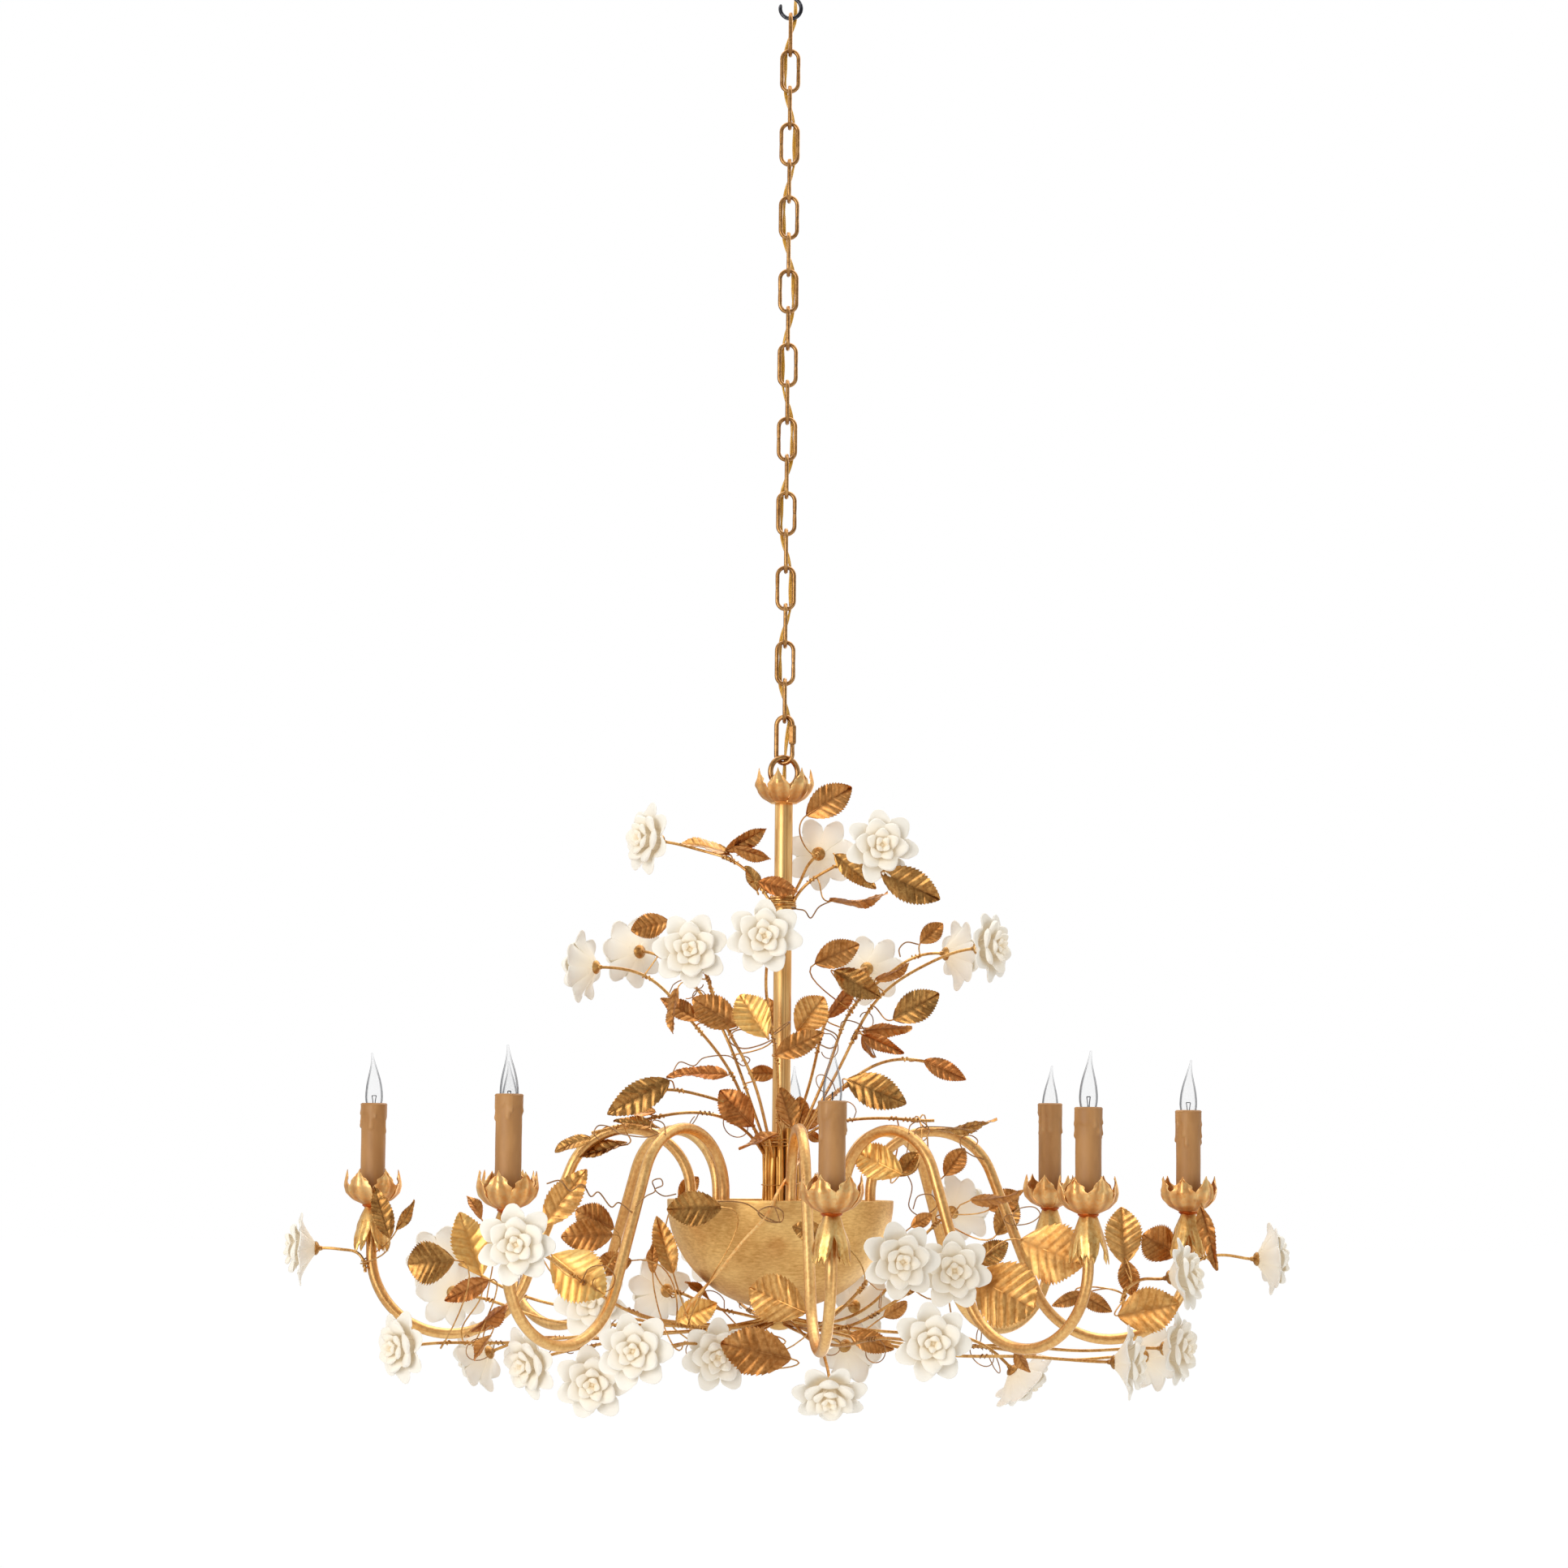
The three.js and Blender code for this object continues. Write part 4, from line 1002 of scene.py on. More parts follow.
@dataclass(frozen=True)
class SupplyCord:
    """The twin flex that hangs behind the chain, threaded through each edge-on link."""

    strand: float = 1.12  # radius of each of its two halves
    apart: float = 0.95  # from the cord's middle to a strand's
    away: float = 4.7
    inside: float = 3.0
    tail: float = 22.0
    twist: float = 46.0  # millimetres of cord to each half turn
    tuck: tuple[float, float] = (0.84, 0.95)  # how a length's top narrows
    bend: float = 7.0  # how far above and below the hook's bend it turns

    @staticmethod
    def side(link: int) -> int:
        """Which side of the chain it passes a link on."""
        return 1 if link % 4 == 0 else -1

    def route(self) -> Array:
        """The middle of the cord, from its bare end at the hook to the top cup.

        Returns:
            Its points.
        """
        away, inside, pitch = self.away, self.inside, LEVELS.link_pitch
        top = LEVELS.link(1) + LEVELS.link_length / 2 + self.tail
        points = [(away * self.side(0), away + 6, top)]
        for link in range(1, LEVELS.link_count + 1):
            height = LEVELS.link(link)
            above, below = away * self.side(link - link % 2), away * self.side(link + link % 2)
            points.append((above, away, height + pitch / 2))
            if link % 2:
                points.append((above * 0.45, inside, height + pitch / 6))
                points.append((below * 0.45, inside, height - pitch / 6))
            else:
                points.append((above, away, height))
        loop, radius = LEVELS.loop_top, LEVELS.loop_radius
        points += [
            (below, away + 0.6, LEVELS.last_bar + 1),
            (below, away + 1.5, LEVELS.quick_top - LEVELS.quick_wire),
            (2.2, away + 1, (LEVELS.quick_top + LEVELS.quick_bottom) / 2),
            (0.8, away + 3, loop),
            (0.4, away + 1, loop - radius * 0.7),
            (0, away + 1.4, loop - radius * 1.9),
            (0, 8.7, LEVELS.cup + 2.4),
        ]
        return spline(points, 6)

    def build(self) -> list[tuple[Shape, str]]:
        """Makes the cord in lengths, cut where the chain hinges.

        Returns:
            Each length and the body that its foot follows.
        """
        line = self.route()
        across, over = crossways(line)
        run = np.concatenate([[0], np.cumsum(np.linalg.norm(np.diff(line, axis=0), axis=1))])
        angle = (run * math.pi / self.twist)[:, None]
        offset = (across * np.cos(angle) + over * np.sin(angle)) * self.apart
        bodies = [f"link_{link:02d}" for link in range(1, LEVELS.link_count + 1)]
        bodies += ["quick_link", "fixture"]
        cuts = [LEVELS.link(link) - LEVELS.link_pitch / 2 for link in range(1, LEVELS.link_count)]
        cuts += [LEVELS.last_bar, LEVELS.quick_bottom]
        ends = [0, *(int(np.argmax(line[:, 2] < cut)) for cut in cuts), len(line) - 1]
        lengths = []
        for number, body in enumerate(bodies):
            span = slice(max(ends[number] - 1, 0), ends[number + 1] + 1)
            swell = np.ones(len(line[span]))
            if number:
                swell[:2] = self.tuck  # its top slips into the length above
            shape = Shape()
            for way in (1, -1):
                strand = (line + way * offset)[span]
                shape.tube(strand, self.strand * swell, Finish.CORD, 10, hollow=0.0)
            # painted shade: this thin middle tube shows only in the groove between the two halves,
            # in the darker strand colour
            shape.tube(line[span], self.strand * 0.55 * swell, Finish.CORD, 6, hollow=1.0)
            lengths.append((shape, body))
        return lengths


# ---- loop, cups, stem and bowl


@dataclass(frozen=True)
class PetalCup:
    """A cup of thin pressed petals round a base, each pleated along its length and ruffled."""

    base: float  # the first three are distances from its axis
    belly: float
    rim: float
    height: float
    notch: float  # twice how far a petal's corners fall short of its middle
    petals: int
    lobes: float  # how deeply a petal's edge is cut into lobes
    seed: int = 3
    thickness: float = 0.7
    rows: int = 25
    columns: int = 13

    def add(self, shape: Shape, at: Matrix) -> None:
        """Adds the petals, every other one behind its neighbours, and the base under them.

        Args:
            shape: What they are added to.
            at: Where the base stands.
        """
        chance = np.random.default_rng(self.seed)
        for petal in range(self.petals):
            behind = 0.9 if petal % 2 else 0.0
            lean = chance.uniform(-2.4, 0.0)
            tall = chance.uniform(-1.5, 0.0)
            phase = chance.uniform(0, 6)
            spin = turned(360 / self.petals * petal + chance.uniform(-4, 4))
            grid, hollow = self._petal(behind, lean, tall, phase)
            shape.sheet(grid, self.thickness, Finish.CUP, hollow, at @ spin)
        foot = [(self.base * 0.35, 0), (self.base, -0.6), (self.base + 1.2, 0.4)]
        foot += [(self.base, 1.6), (self.base * 0.35, 1.9)]
        shape.lathe(foot, Finish.CUP, 28, at, closed=True)

    def _petal(self, behind: float, lean: float, tall: float, phase: float) -> tuple[Array, Array]:
        """One petal's points and how sheltered they are.

        Args:
            behind: How far inside the cup's outer face it stands.
            lean: How far its tip leans out.
            tall: How much taller it is than the cup.
            phase: Where its ruffles start, in radians.

        Returns:
            Its grid, and a value for each point.
        """
        up = np.linspace(0, 1, self.rows)[:, None]
        across = np.linspace(-1, 1, self.columns)[None]
        reach = np.interp(up, (0, 0.14, 0.34, 0.55, 0.8, 1), (
            self.base, self.base + (self.belly - self.base) * 0.62, self.belly,
            self.rim, self.rim, self.rim * 1.02))
        broad = np.interp(up, (0, 0.3, 0.44, 0.58, 0.64, 0.78, 0.84, 1),
                          (0.94, 1.04, 1.0, 0.92, 0.74, 0.62, 0.4, 0.04))
        lobed = 1 + self.lobes * np.cos(up * 25 + phase) * np.clip(up * 2 - 0.8, 0, 1)
        angle = across * broad * lobed * math.pi / self.petals
        pleats = np.cos(across * 2 * math.pi) * np.sin(up * math.pi) ** 0.6
        ruffle = np.sin(up * 15 + phase) * np.abs(across) ** 3 * up
        keel = (1 - np.abs(across)) * np.sin(up * math.pi) * 1.6
        out = reach - behind + pleats * 0.8 + ruffle * 1.1 + keel + lean * up**3
        height = (self.height + tall) * up - self.notch * 0.5 * across**2 * up**2
        # painted shade: browner towards the petals' feet and in their pleats
        hollow = np.clip(0.45 * (1 - up) ** 2 + 0.25 * (1 - pleats), 0, 1)
        return polar(out, angle, height), hollow


@dataclass(frozen=True)
class Hanger:
    """The ring that the fixture hangs by, with its neck down through the top cup."""

    turn: float = 25.0
    neck: float = 9.0
    plug: float = 7.0
    cup: PetalCup = PetalCup(13, 25, 27.5, 34, 12, petals=7, lobes=0.1, seed=11)

    def build(self) -> Shape:
        """Bends the ring, whose ends meet at the top of the turned neck.

        Returns:
            Its mesh.
        """
        shape = Shape()
        radius = LEVELS.loop_radius
        middle = LEVELS.loop_top - radius
        at = turned(self.turn)
        ring = arc(0, middle, radius, -88, 268, 48)
        shape.tube(ring, LEVELS.loop_wire / 2, Finish.CHAIN, 16, at)
        top, under, reach = middle - radius, LEVELS.cup, self.neck / 2
        seat = under - LEVELS.cup_floor - LEVELS.seat
        profile = [(0.2, seat - self.plug), (self.plug * 0.9, seat - self.plug)]
        profile += [(self.plug * 0.9, seat), (reach, seat), (reach, under + 0.6)]
        profile += [(reach + 2.6, under + 0.6), (reach + 2.6, under + 2.8)]
        profile += [(reach * 0.9, under + 3.6), (reach * 0.8, top - 4), (reach * 0.92, top - 1)]
        profile += [(reach * 0.7, top + 1.8), (0.2, top + 2.2)]
        shape.lathe(profile, Finish.CHAIN, 24, at)
        return shape

    def build_cup(self) -> Shape:
        """Presses the top cup.

        Returns:
            Its mesh.
        """
        shape = Shape()
        self.cup.add(shape, moved(0, 0, LEVELS.cup - LEVELS.cup_floor))
        return shape


@dataclass(frozen=True)
class Stem:
    """The tube between the top cup and the bowl, seamed and lightly fluted."""

    radius: float = 9.0
    wall: float = 1.6
    foot: float = -14.0
    top: float = LEVELS.stem_top
    flute: float = 0.28
    sides: int = 72

    def build(self) -> Shape:
        """Draws the tube, open at its ends.

        Returns:
            Its mesh.
        """
        shape = Shape()
        angles = spun(self.sides)
        flutes = np.cos(angles * 5 + 0.7) * 0.6 + np.cos(angles * 8 + 2.1) * 0.4
        seam = np.exp(-(((angles - math.radians(292)) / 0.06) ** 2))
        outer = self.radius - self.flute * (1 - flutes) / 2 - seam * 0.5
        inner = self.radius - self.wall
        ends = [(outer - 0.4, self.top), (inner, self.top), (inner, self.foot)]
        skin = [(outer, level) for level in np.linspace(0, self.top - 1, 30)]
        rows = [(outer - 0.4, self.foot), *skin, *ends]
        grid = [polar(reach, angles, level) for reach, level in rows]
        # painted shade: browner in the seam's groove and the flutes, and at the tube's inner ends
        hollow = np.tile(seam * 0.9 + (1 - flutes) * 0.12, (len(rows), 1))
        hollow[-2:] = 0.8
        shape.rings(np.array(grid), Finish.STEM, hollow, RIM, closed=True)
        return shape


@dataclass(frozen=True)
class Bundle:
    """Gilded rods and wire ends packed round the stem's foot and tied with wire."""

    reach: float = 13.6
    foot: float = -3.6
    height: float = 66.0
    rods: int = 12

    def add(self, shape: Shape) -> None:
        """Packs the rods, the thin wire ends outside them, and winds the ties.

        Args:
            shape: What they are added to.
        """
        chance = np.random.default_rng(8)
        rods = (self.rods, (-0.2, 0.2), (2.9, 3.8), (-14, 4), 0.05, self.reach)
        ends = (self.rods - 3, (0.2, 0.8), (1.1, 1.7), (-30, 8), 0.08, self.reach + 3.6)
        for count, stray, thin, short, leaning, reach in (rods, ends):
            for number in range(count):
                angle = 2 * math.pi * (number + chance.uniform(*stray)) / count
                thick = chance.uniform(*thin)
                top = self.height + chance.uniform(*short)
                lean = chance.uniform(-leaning, leaning)
                self._add_rod(shape, angle, lean, thick, reach, top)
        for height, turns, loose in ((13, 1.2, 0.4), (52, 2.4, 0.6), (58, 1.3, 2.4)):
            self._add_tie(shape, height, turns, loose)

    def _add_rod(
        self, shape: Shape, angle: float, lean: float, thick: float, reach: float, top: float
    ) -> None:
        """One rod, its top cut off at a slant.

        Args:
            shape: What it is added to.
            angle: Where it stands round the stem, in radians.
            lean: How much further round it is at its top.
            thick: Its radius.
            reach: How far it is from the axis.
            top: Where it ends, above the rim.
        """
        heights = np.linspace(self.foot, top, 10)
        share = (heights - self.foot) / (top - self.foot)
        around = angle + lean * share
        out = reach + 0.6 * np.sin(share * 5 + angle * 3) - share**2 * 0.8
        radius = thick * (1 + 0.05 * np.sin(share * 9 + angle))
        radius[-1] *= 0.7
        hollow = 0.25 * np.sin(share * 7 + angle * 5) ** 2
        shape.tube(polar(out, around, heights), radius, Finish.BUNDLE, 9, RIM, hollow)

    def _add_tie(self, shape: Shape, height: float, turns: float, loose: float) -> None:
        """Wire wound round the rods, a little slack.

        Args:
            shape: What it is added to.
            height: Where it starts, above the rim.
            turns: How many turns it makes.
            loose: How slack it is.
        """
        angles = np.linspace(0, 2 * math.pi * turns, int(26 * turns))
        out = self.reach + 4.6 + loose * (0.5 + 0.5 * np.sin(angles * 0.9))
        rise = height + angles * 0.55 + 1.2 * np.sin(angles + height)
        shape.tube(polar(out, angles + height, rise), 0.6, Finish.WIRE, 6, RIM)


@dataclass(frozen=True)
class Bowl:
    """The spun bowl, the plate that closes it and the rounded post under it."""

    radius: float = 111.0
    depth: float = 107.0
    wall: float = 2.0
    plate_below: float = 4.0
    plate: float = 2.5
    post: float = 12.0
    post_length: float = 20.0

    def build(self) -> Shape:
        """Spins the shell with its rolled rim, and adds the plate and the post.

        Returns:
            Its mesh.
        """
        shape = Shape()
        angles = np.radians(np.linspace(1.2, 88.5, 36))
        inner, deep = self.radius - self.wall, self.depth - self.wall
        outside = [(self.radius * math.sin(a), -self.depth * math.cos(a)) for a in angles]
        inside = [(inner * math.sin(a), -deep * math.cos(a)) for a in angles[::-2]]
        lip = [(self.radius, -1.4), (self.radius - 0.3, -0.3), (self.radius - 1, 0)]
        lip += [(self.radius - 1.8, -0.4), (inner, -1.4)]
        # painted shade: darker towards the bottom, browner inside, and a little browner on the
        # plate and on the post under the bowl
        low = [0.35 * math.cos(a) ** 3 for a in angles]
        hollow = np.array(low + [0.1] * len(lip) + [0.9] * len(inside))
        shape.lathe(outside + lip + inside, Finish.BOWL, 96, RIM, hollow, closed=True)
        top = -self.plate_below
        edge = self.radius - self.wall - 0.3
        plate = [(9.6, top - self.plate), (edge, top - self.plate), (edge, top - 0.6)]
        plate += [(edge - 0.8, top), (9.6, top)]
        shape.lathe(plate, Finish.BOWL, 72, RIM, 0.2, closed=True)
        self._add_post(shape)
        return shape

    def _add_post(self, shape: Shape) -> None:
        """The post, rounded at its foot.

        Args:
            shape: What it is added to.
        """
        end = -self.depth - self.post_length
        reach = self.post
        profile = [(0.3, end), (reach * 0.42, end + 0.5), (reach * 0.72, end + 1.8)]
        profile += [(reach * 0.92, end + 4.2), (reach * 0.99, end + 7), (reach, end + 12)]
        profile += [(reach * 0.97, -self.depth + 1), (reach * 0.5, -self.depth + 1.6)]
        shape.lathe(profile, Finish.BOWL, 36, RIM, 0.3)


# ---- arms and candles

BEARINGS = (0, 45, 88, 135.5, 180, 232, 276.5, 314.5)  # each arm's
SLEEVE_TOPS = (91, 101, 92, 96, 91, 96, 91, 89)  # how far each sleeve's top is above the rim


@dataclass(frozen=True)
class Arm:
    """A tube that arches out of the bowl and dips up to a candle in its cup of petals."""

    diameter: float = 10.5
    root: float = 88.0
    root_depth: float = 16.0
    arch_height: float = 68.0
    arch_radius: float = 61.0
    reach: float = 400.0
    dip_radius: float = 78.0
    dip_depth: float = 133.0
    cup_foot: float = -8.0
    calyx_leaves: int = 4
    calyx_length: float = 46.0
    socket: float = 9.0
    socket_top: float = 80.0
    cup: PetalCup = PetalCup(9, 24.6, 26.4, 35, 5, petals=6, lobes=0.14)

    def line(self) -> Array:
        """The middle of the tube, in the plane through the axis and X.

        Returns:
            Its points, from the root to the cup.
        """
        arch_x = self.root + self.arch_radius
        arch_z = self.arch_height - self.arch_radius
        dip_x = self.reach - self.dip_radius
        dip_z = self.dip_radius - self.dip_depth
        away = math.hypot(dip_x - arch_x, dip_z - arch_z)
        slope = math.atan2(dip_z - arch_z, dip_x - arch_x)
        slope -= math.asin((self.arch_radius + self.dip_radius) / away)
        leaves = math.degrees(slope) + 90
        over = arc(arch_x, arch_z, self.arch_radius, 180, leaves, 26)
        under = arc(dip_x, dip_z, self.dip_radius, leaves - 180, 0, 34)
        straight = np.linspace(over[-1], under[0], 5)[1:-1]
        root = np.linspace((self.root, 0, -self.root_depth), over[0], 4)[:-1]
        end = np.linspace(under[-1], (self.reach, 0, self.cup_foot + 1), 6)[1:]
        return np.vstack([root, over, straight, under, end])

    def build(self, number: int) -> Shape:
        """Makes one arm.

        Args:
            number: Which, from 1.

        Returns:
            Its mesh.
        """
        shape = Shape()
        at = RIM @ turned(BEARINGS[number - 1])
        line = self.line()
        share = np.linspace(0, 1, len(line))
        radius = self.diameter / 2 * (1 + 0.012 * np.sin(share * 40 + number))
        shape.tube(line, np.minimum(radius, self.diameter / 2), Finish.ARM, 18, at)
        end = at @ moved(self.reach, 0, self.cup_foot)
        spin = end @ turned(13 * number)
        replace(self.cup, seed=20 + number).add(shape, spin)
        self._add_collar(shape, end)
        self._add_calyx(shape, end, number)
        self._add_socket(shape, at)
        return shape

    def _add_collar(self, shape: Shape, at: Matrix) -> None:
        """The turned collar under the cup, where the red ground shows through.

        Args:
            shape: What it is added to.
            at: Where the cup's foot stands.
        """
        tube = self.diameter / 2
        profile = [(tube - 0.6, -7.5), (tube + 0.9, -7), (tube + 1.6, -5.6), (tube + 1.3, -4)]
        profile += [(tube + 3, -2.4), (tube + 4.6, -1.0), (tube + 4.4, -0.4), (tube - 0.6, -0.2)]
        # painted shade: a little browner, as it sits under the cup
        shape.lathe(profile, Finish.BOLE, 28, at, 0.2, closed=True)

    def _add_calyx(self, shape: Shape, at: Matrix, number: int) -> None:
        """Folded leaves that droop along the tube from the cup, their ends split.

        Args:
            shape: What they are added to.
            at: Where the cup's foot stands.
            number: Which arm's they are.
        """
        chance = np.random.default_rng(40 + number)
        for leaf in range(self.calyx_leaves):
            bearing = 360 * (leaf + 0.5) / self.calyx_leaves + chance.uniform(-12, 12)
            long = self.calyx_length * chance.uniform(0.92, 1.0)
            away = chance.uniform(0.4, 1.0)
            grid, hollow = self._calyx_leaf(long, away, chance.uniform(0, 6))
            shape.sheet(grid, 0.8, Finish.CALYX, hollow, at @ turned(bearing))

    def _calyx_leaf(self, long: float, away: float, phase: float) -> tuple[Array, Array]:
        """One drooping leaf.

        Args:
            long: Its length.
            away: How far it stands off the tube, from 0 to 1.
            phase: Where its ripples start, in radians.

        Returns:
            Its grid, and how sheltered each point is.
        """
        down = np.linspace(0, 1, 17)[:, None]
        across = np.linspace(-1, 1, 11)[None]
        half = np.interp(down, (0, 0.12, 0.4, 0.7, 0.9, 1), (4.0, 7.0, 9.8, 9.2, 7.8, 5.4))
        tube = self.diameter / 2
        spine = tube + 2.2 + 7.5 * np.sin(down * math.pi * 0.62) + 5.0 * away * down**2
        split = 0.5 - 0.5 * np.cos(across * 2.6 * math.pi)
        pleat = np.cos(across * 2.6 * math.pi) * np.clip(down * 1.6, 0, 1)
        out = spine - 5.2 * across**2 * (1 - 0.45 * down) + 0.8 * pleat
        out = out + 0.6 * np.sin(down * 13 + phase) * np.abs(across)
        drop = -long * down * (1 - 0.17 * split * down**2) - 1.0
        # painted shade: browner in the pleats and up under the cup
        hollow = np.clip(0.24 * (1 - pleat) + 0.35 * (1 - down) ** 3, 0, 1)
        return gather(np.maximum(out, tube * 0.62), half * across, drop), hollow

    def _add_socket(self, shape: Shape, at: Matrix) -> None:
        """The lamp holder that the sleeve slides over.

        Args:
            shape: What it is added to.
            at: The arm's own frame, at the height of the rim.
        """
        reach, top, foot = self.socket, self.socket_top, self.cup_foot + 1
        profile = [(5.4, foot), (reach * 0.9, foot), (reach, foot + 1), (reach, top - 1.2)]
        profile += [(reach - 0.8, top), (6.6, top), (6.4, top - 1), (6.4, foot + 4)]
        # painted shade: browner, as it sits inside the sleeve
        shape.lathe(profile, Finish.BRASS, 28, at @ moved(self.reach, 0, 0), 0.3, closed=True)


@dataclass(frozen=True)
class Candle:
    """The wax-coated sleeve over a lamp holder, and the flame lamp that stands in it."""

    sleeve: float = 13.6  # the radius over the wax
    core: float = 12.0  # the radius under it
    bore: float = 10.3
    mouth: float = 9.4
    foot: float = 4.6
    drips: int = 9
    lamp_foot: float = 56.3
    cap: float = 5.9
    cap_length: float = 22.0
    glass_length: float = 62.0
    lean: float = 3.0

    def place(self, number: int) -> Matrix:
        """Where a candle stands, at the height of the rim."""
        return RIM @ turned(BEARINGS[number - 1]) @ moved(Arm.reach, 0, 0)

    def build_sleeve(self, number: int) -> Shape:
        """Makes a sleeve with wax run down from its top.

        Args:
            number: Which arm's, from 1.

        Returns:
            Its mesh.
        """
        shape = Shape()
        top = SLEEVE_TOPS[number - 1]
        angles = spun(60)
        plain = np.linspace(self.foot, top - 40, 6)
        levels = np.append(plain, np.linspace(top - 38, top - 2.2, 26))
        relief = self._drip(number, top, angles, levels[:, None])
        ragged = 3 * np.sin(angles * 2 + number) + 2 * np.sin(angles * 5 + 2 * number)
        coat = np.clip((levels[:, None] - (top - 15 + ragged)) / 2.5, 0, 1) * 0.9
        skin = self.core + np.maximum(relief * 1.6, coat)
        skin = skin + 0.06 * np.sin(angles * 3 + levels[:, None] * 0.2)
        skin = np.minimum(skin, self.sleeve)
        inside = [(self.sleeve - 0.4, top - 1.5), (self.sleeve - 1.1, top - 0.5)]
        inside += [(self.sleeve - 1.9, top), (self.mouth, top - 0.3), (self.mouth, top - 2.5)]
        inside += [(self.bore, top - 4), (self.bore, self.foot)]
        rows = [polar(reach, angles, level) for reach, level in (*zip(skin, levels), *inside)]
        hollow = np.vstack([relief * 0.8, np.zeros((len(inside), len(angles)))])
        shape.rings(np.array(rows), Finish.WAX, hollow, self.place(number), closed=True)
        return shape

    def _drip(self, number: int, top: float, angles: Array, levels: Array) -> Array:
        """The runs of wax down a sleeve, each with a drop at its end.

        Args:
            number: Which arm's, from 1.
            top: The height of the sleeve's top.
            angles: Round the sleeve, in radians.
            levels: Up the sleeve, in a column.

        Returns:
            How far each point stands out, from 0 to 1.
        """
        chance = np.random.default_rng(60 + number)
        relief = np.zeros((len(levels), len(angles)))
        for _ in range(self.drips):
            where = chance.uniform(0, 2 * math.pi)
            wide = chance.uniform(0.1, 0.19)
            along = levels - (top - chance.uniform(12, 36))
            gap = np.abs((angles - where + math.pi) % (2 * math.pi) - math.pi) / wide
            drop = 0.55 + 0.45 * np.exp(-(((along - 2.6) / 3) ** 2))
            run = np.sqrt(np.clip(1 - gap**2, 0, 1)) * np.clip(along / 1.6, 0, 1) ** 0.6
            relief = np.maximum(relief, run * drop)
        return relief

    def build_lamp(self, number: int) -> Shape:
        """Makes a lamp: a clear thin glass, its screw cap and the wires inside it.

        Args:
            number: Which arm's, from 1.

        Returns:
            Its mesh.
        """
        shape = Shape()
        at = self.place(number)
        glass = self.lamp_foot + self.cap_length
        swell = [(5.2, 0), (5.4, 2), (6.4, 6), (7.7, 11), (8.5, 15.5), (8.7, 19), (8.5, 23.5)]
        swell += [(7.8, 29.5), (6.7, 35), (5.3, 40.5), (3.9, 45.5), (2.7, 50), (1.8, 54.5)]
        swell += [(1.2, 58), (1.0, 60), (1.1, 61), (0.6, 61.8), (0.1, 62)]
        outer = [(r, glass + z) for r, z in swell]
        inner = [(max(r - 0.8, 0.05), glass + max(z - 0.5, 0.5)) for r, z in swell[:-4]]
        shape.lathe(outer + inner[::-1], Finish.GLASS, 36, closed=True)
        self._bend(shape, glass)
        frame = np.array(at)
        shape.points = [points @ frame[:3, :3].T + frame[:3, 3] for points in shape.points]
        self._add_cap(shape, at)
        self._add_filament(shape, at @ moved(0, 0, glass))
        return shape

    def _bend(self, shape: Shape, glass: float) -> None:
        """Leans the tip of the flame.

        Args:
            shape: The glass.
            glass: The height of its foot.
        """
        for points in shape.points:
            up = np.clip((points[:, 2] - glass) / self.glass_length, 0, 1)
            points[:, 0] += self.lean * up**4

    def _add_cap(self, shape: Shape, at: Matrix) -> None:
        """The brass screw cap, its thread rolled in rings.

        Args:
            shape: What it is added to.
            at: Where the lamp stands.
        """
        foot, reach = self.lamp_foot, self.cap
        profile = [(0.4, foot), (2.4, foot), (2.6, foot + 1.4), (reach * 0.9, foot + 2.2)]
        for turn in range(6):
            profile += [(reach, foot + 3.2 + turn * 2.4), (reach * 0.92, foot + 4.4 + turn * 2.4)]
        profile += [(reach, foot + 18), (reach, foot + self.cap_length)]
        profile += [(4.9, foot + self.cap_length), (4.6, foot + 19), (0.4, foot + 19)]
        # painted shade: a touch browner, as it sits down in the sleeve
        shape.lathe(profile, Finish.BRASS, 28, at, 0.1)

    def _add_filament(self, shape: Shape, at: Matrix) -> None:
        """The glass mount, its two wires and the coil between them.

        Args:
            shape: What they are added to.
            at: Where the glass's foot is.
        """
        mount = [(0.3, -2), (2.6, -2), (2.2, 2), (1.2, 7), (1.0, 10), (1.3, 11.5), (0.3, 12)]
        shape.lathe(mount, Finish.GLASS, 12, at)
        for way in (1, -1):
            bent = [(0.9, -1), (0.8, 10), (1.3, 15), (2.1, 20)]
            wire = spline([(way * apart, 0, height) for apart, height in bent], 4)
            shape.tube(wire, 0.45, Finish.FILAMENT, 6, at)
        turns = np.linspace(0, 1, 61)
        angle = turns * 2 * math.pi * 10
        coil = gather(-2.1 + 4.2 * turns, 0.42 * np.cos(angle), 20 + 0.42 * np.sin(angle))
        shape.tube(coil, 0.13, Finish.FILAMENT, 5, at)


# ---- blossoms and leaves


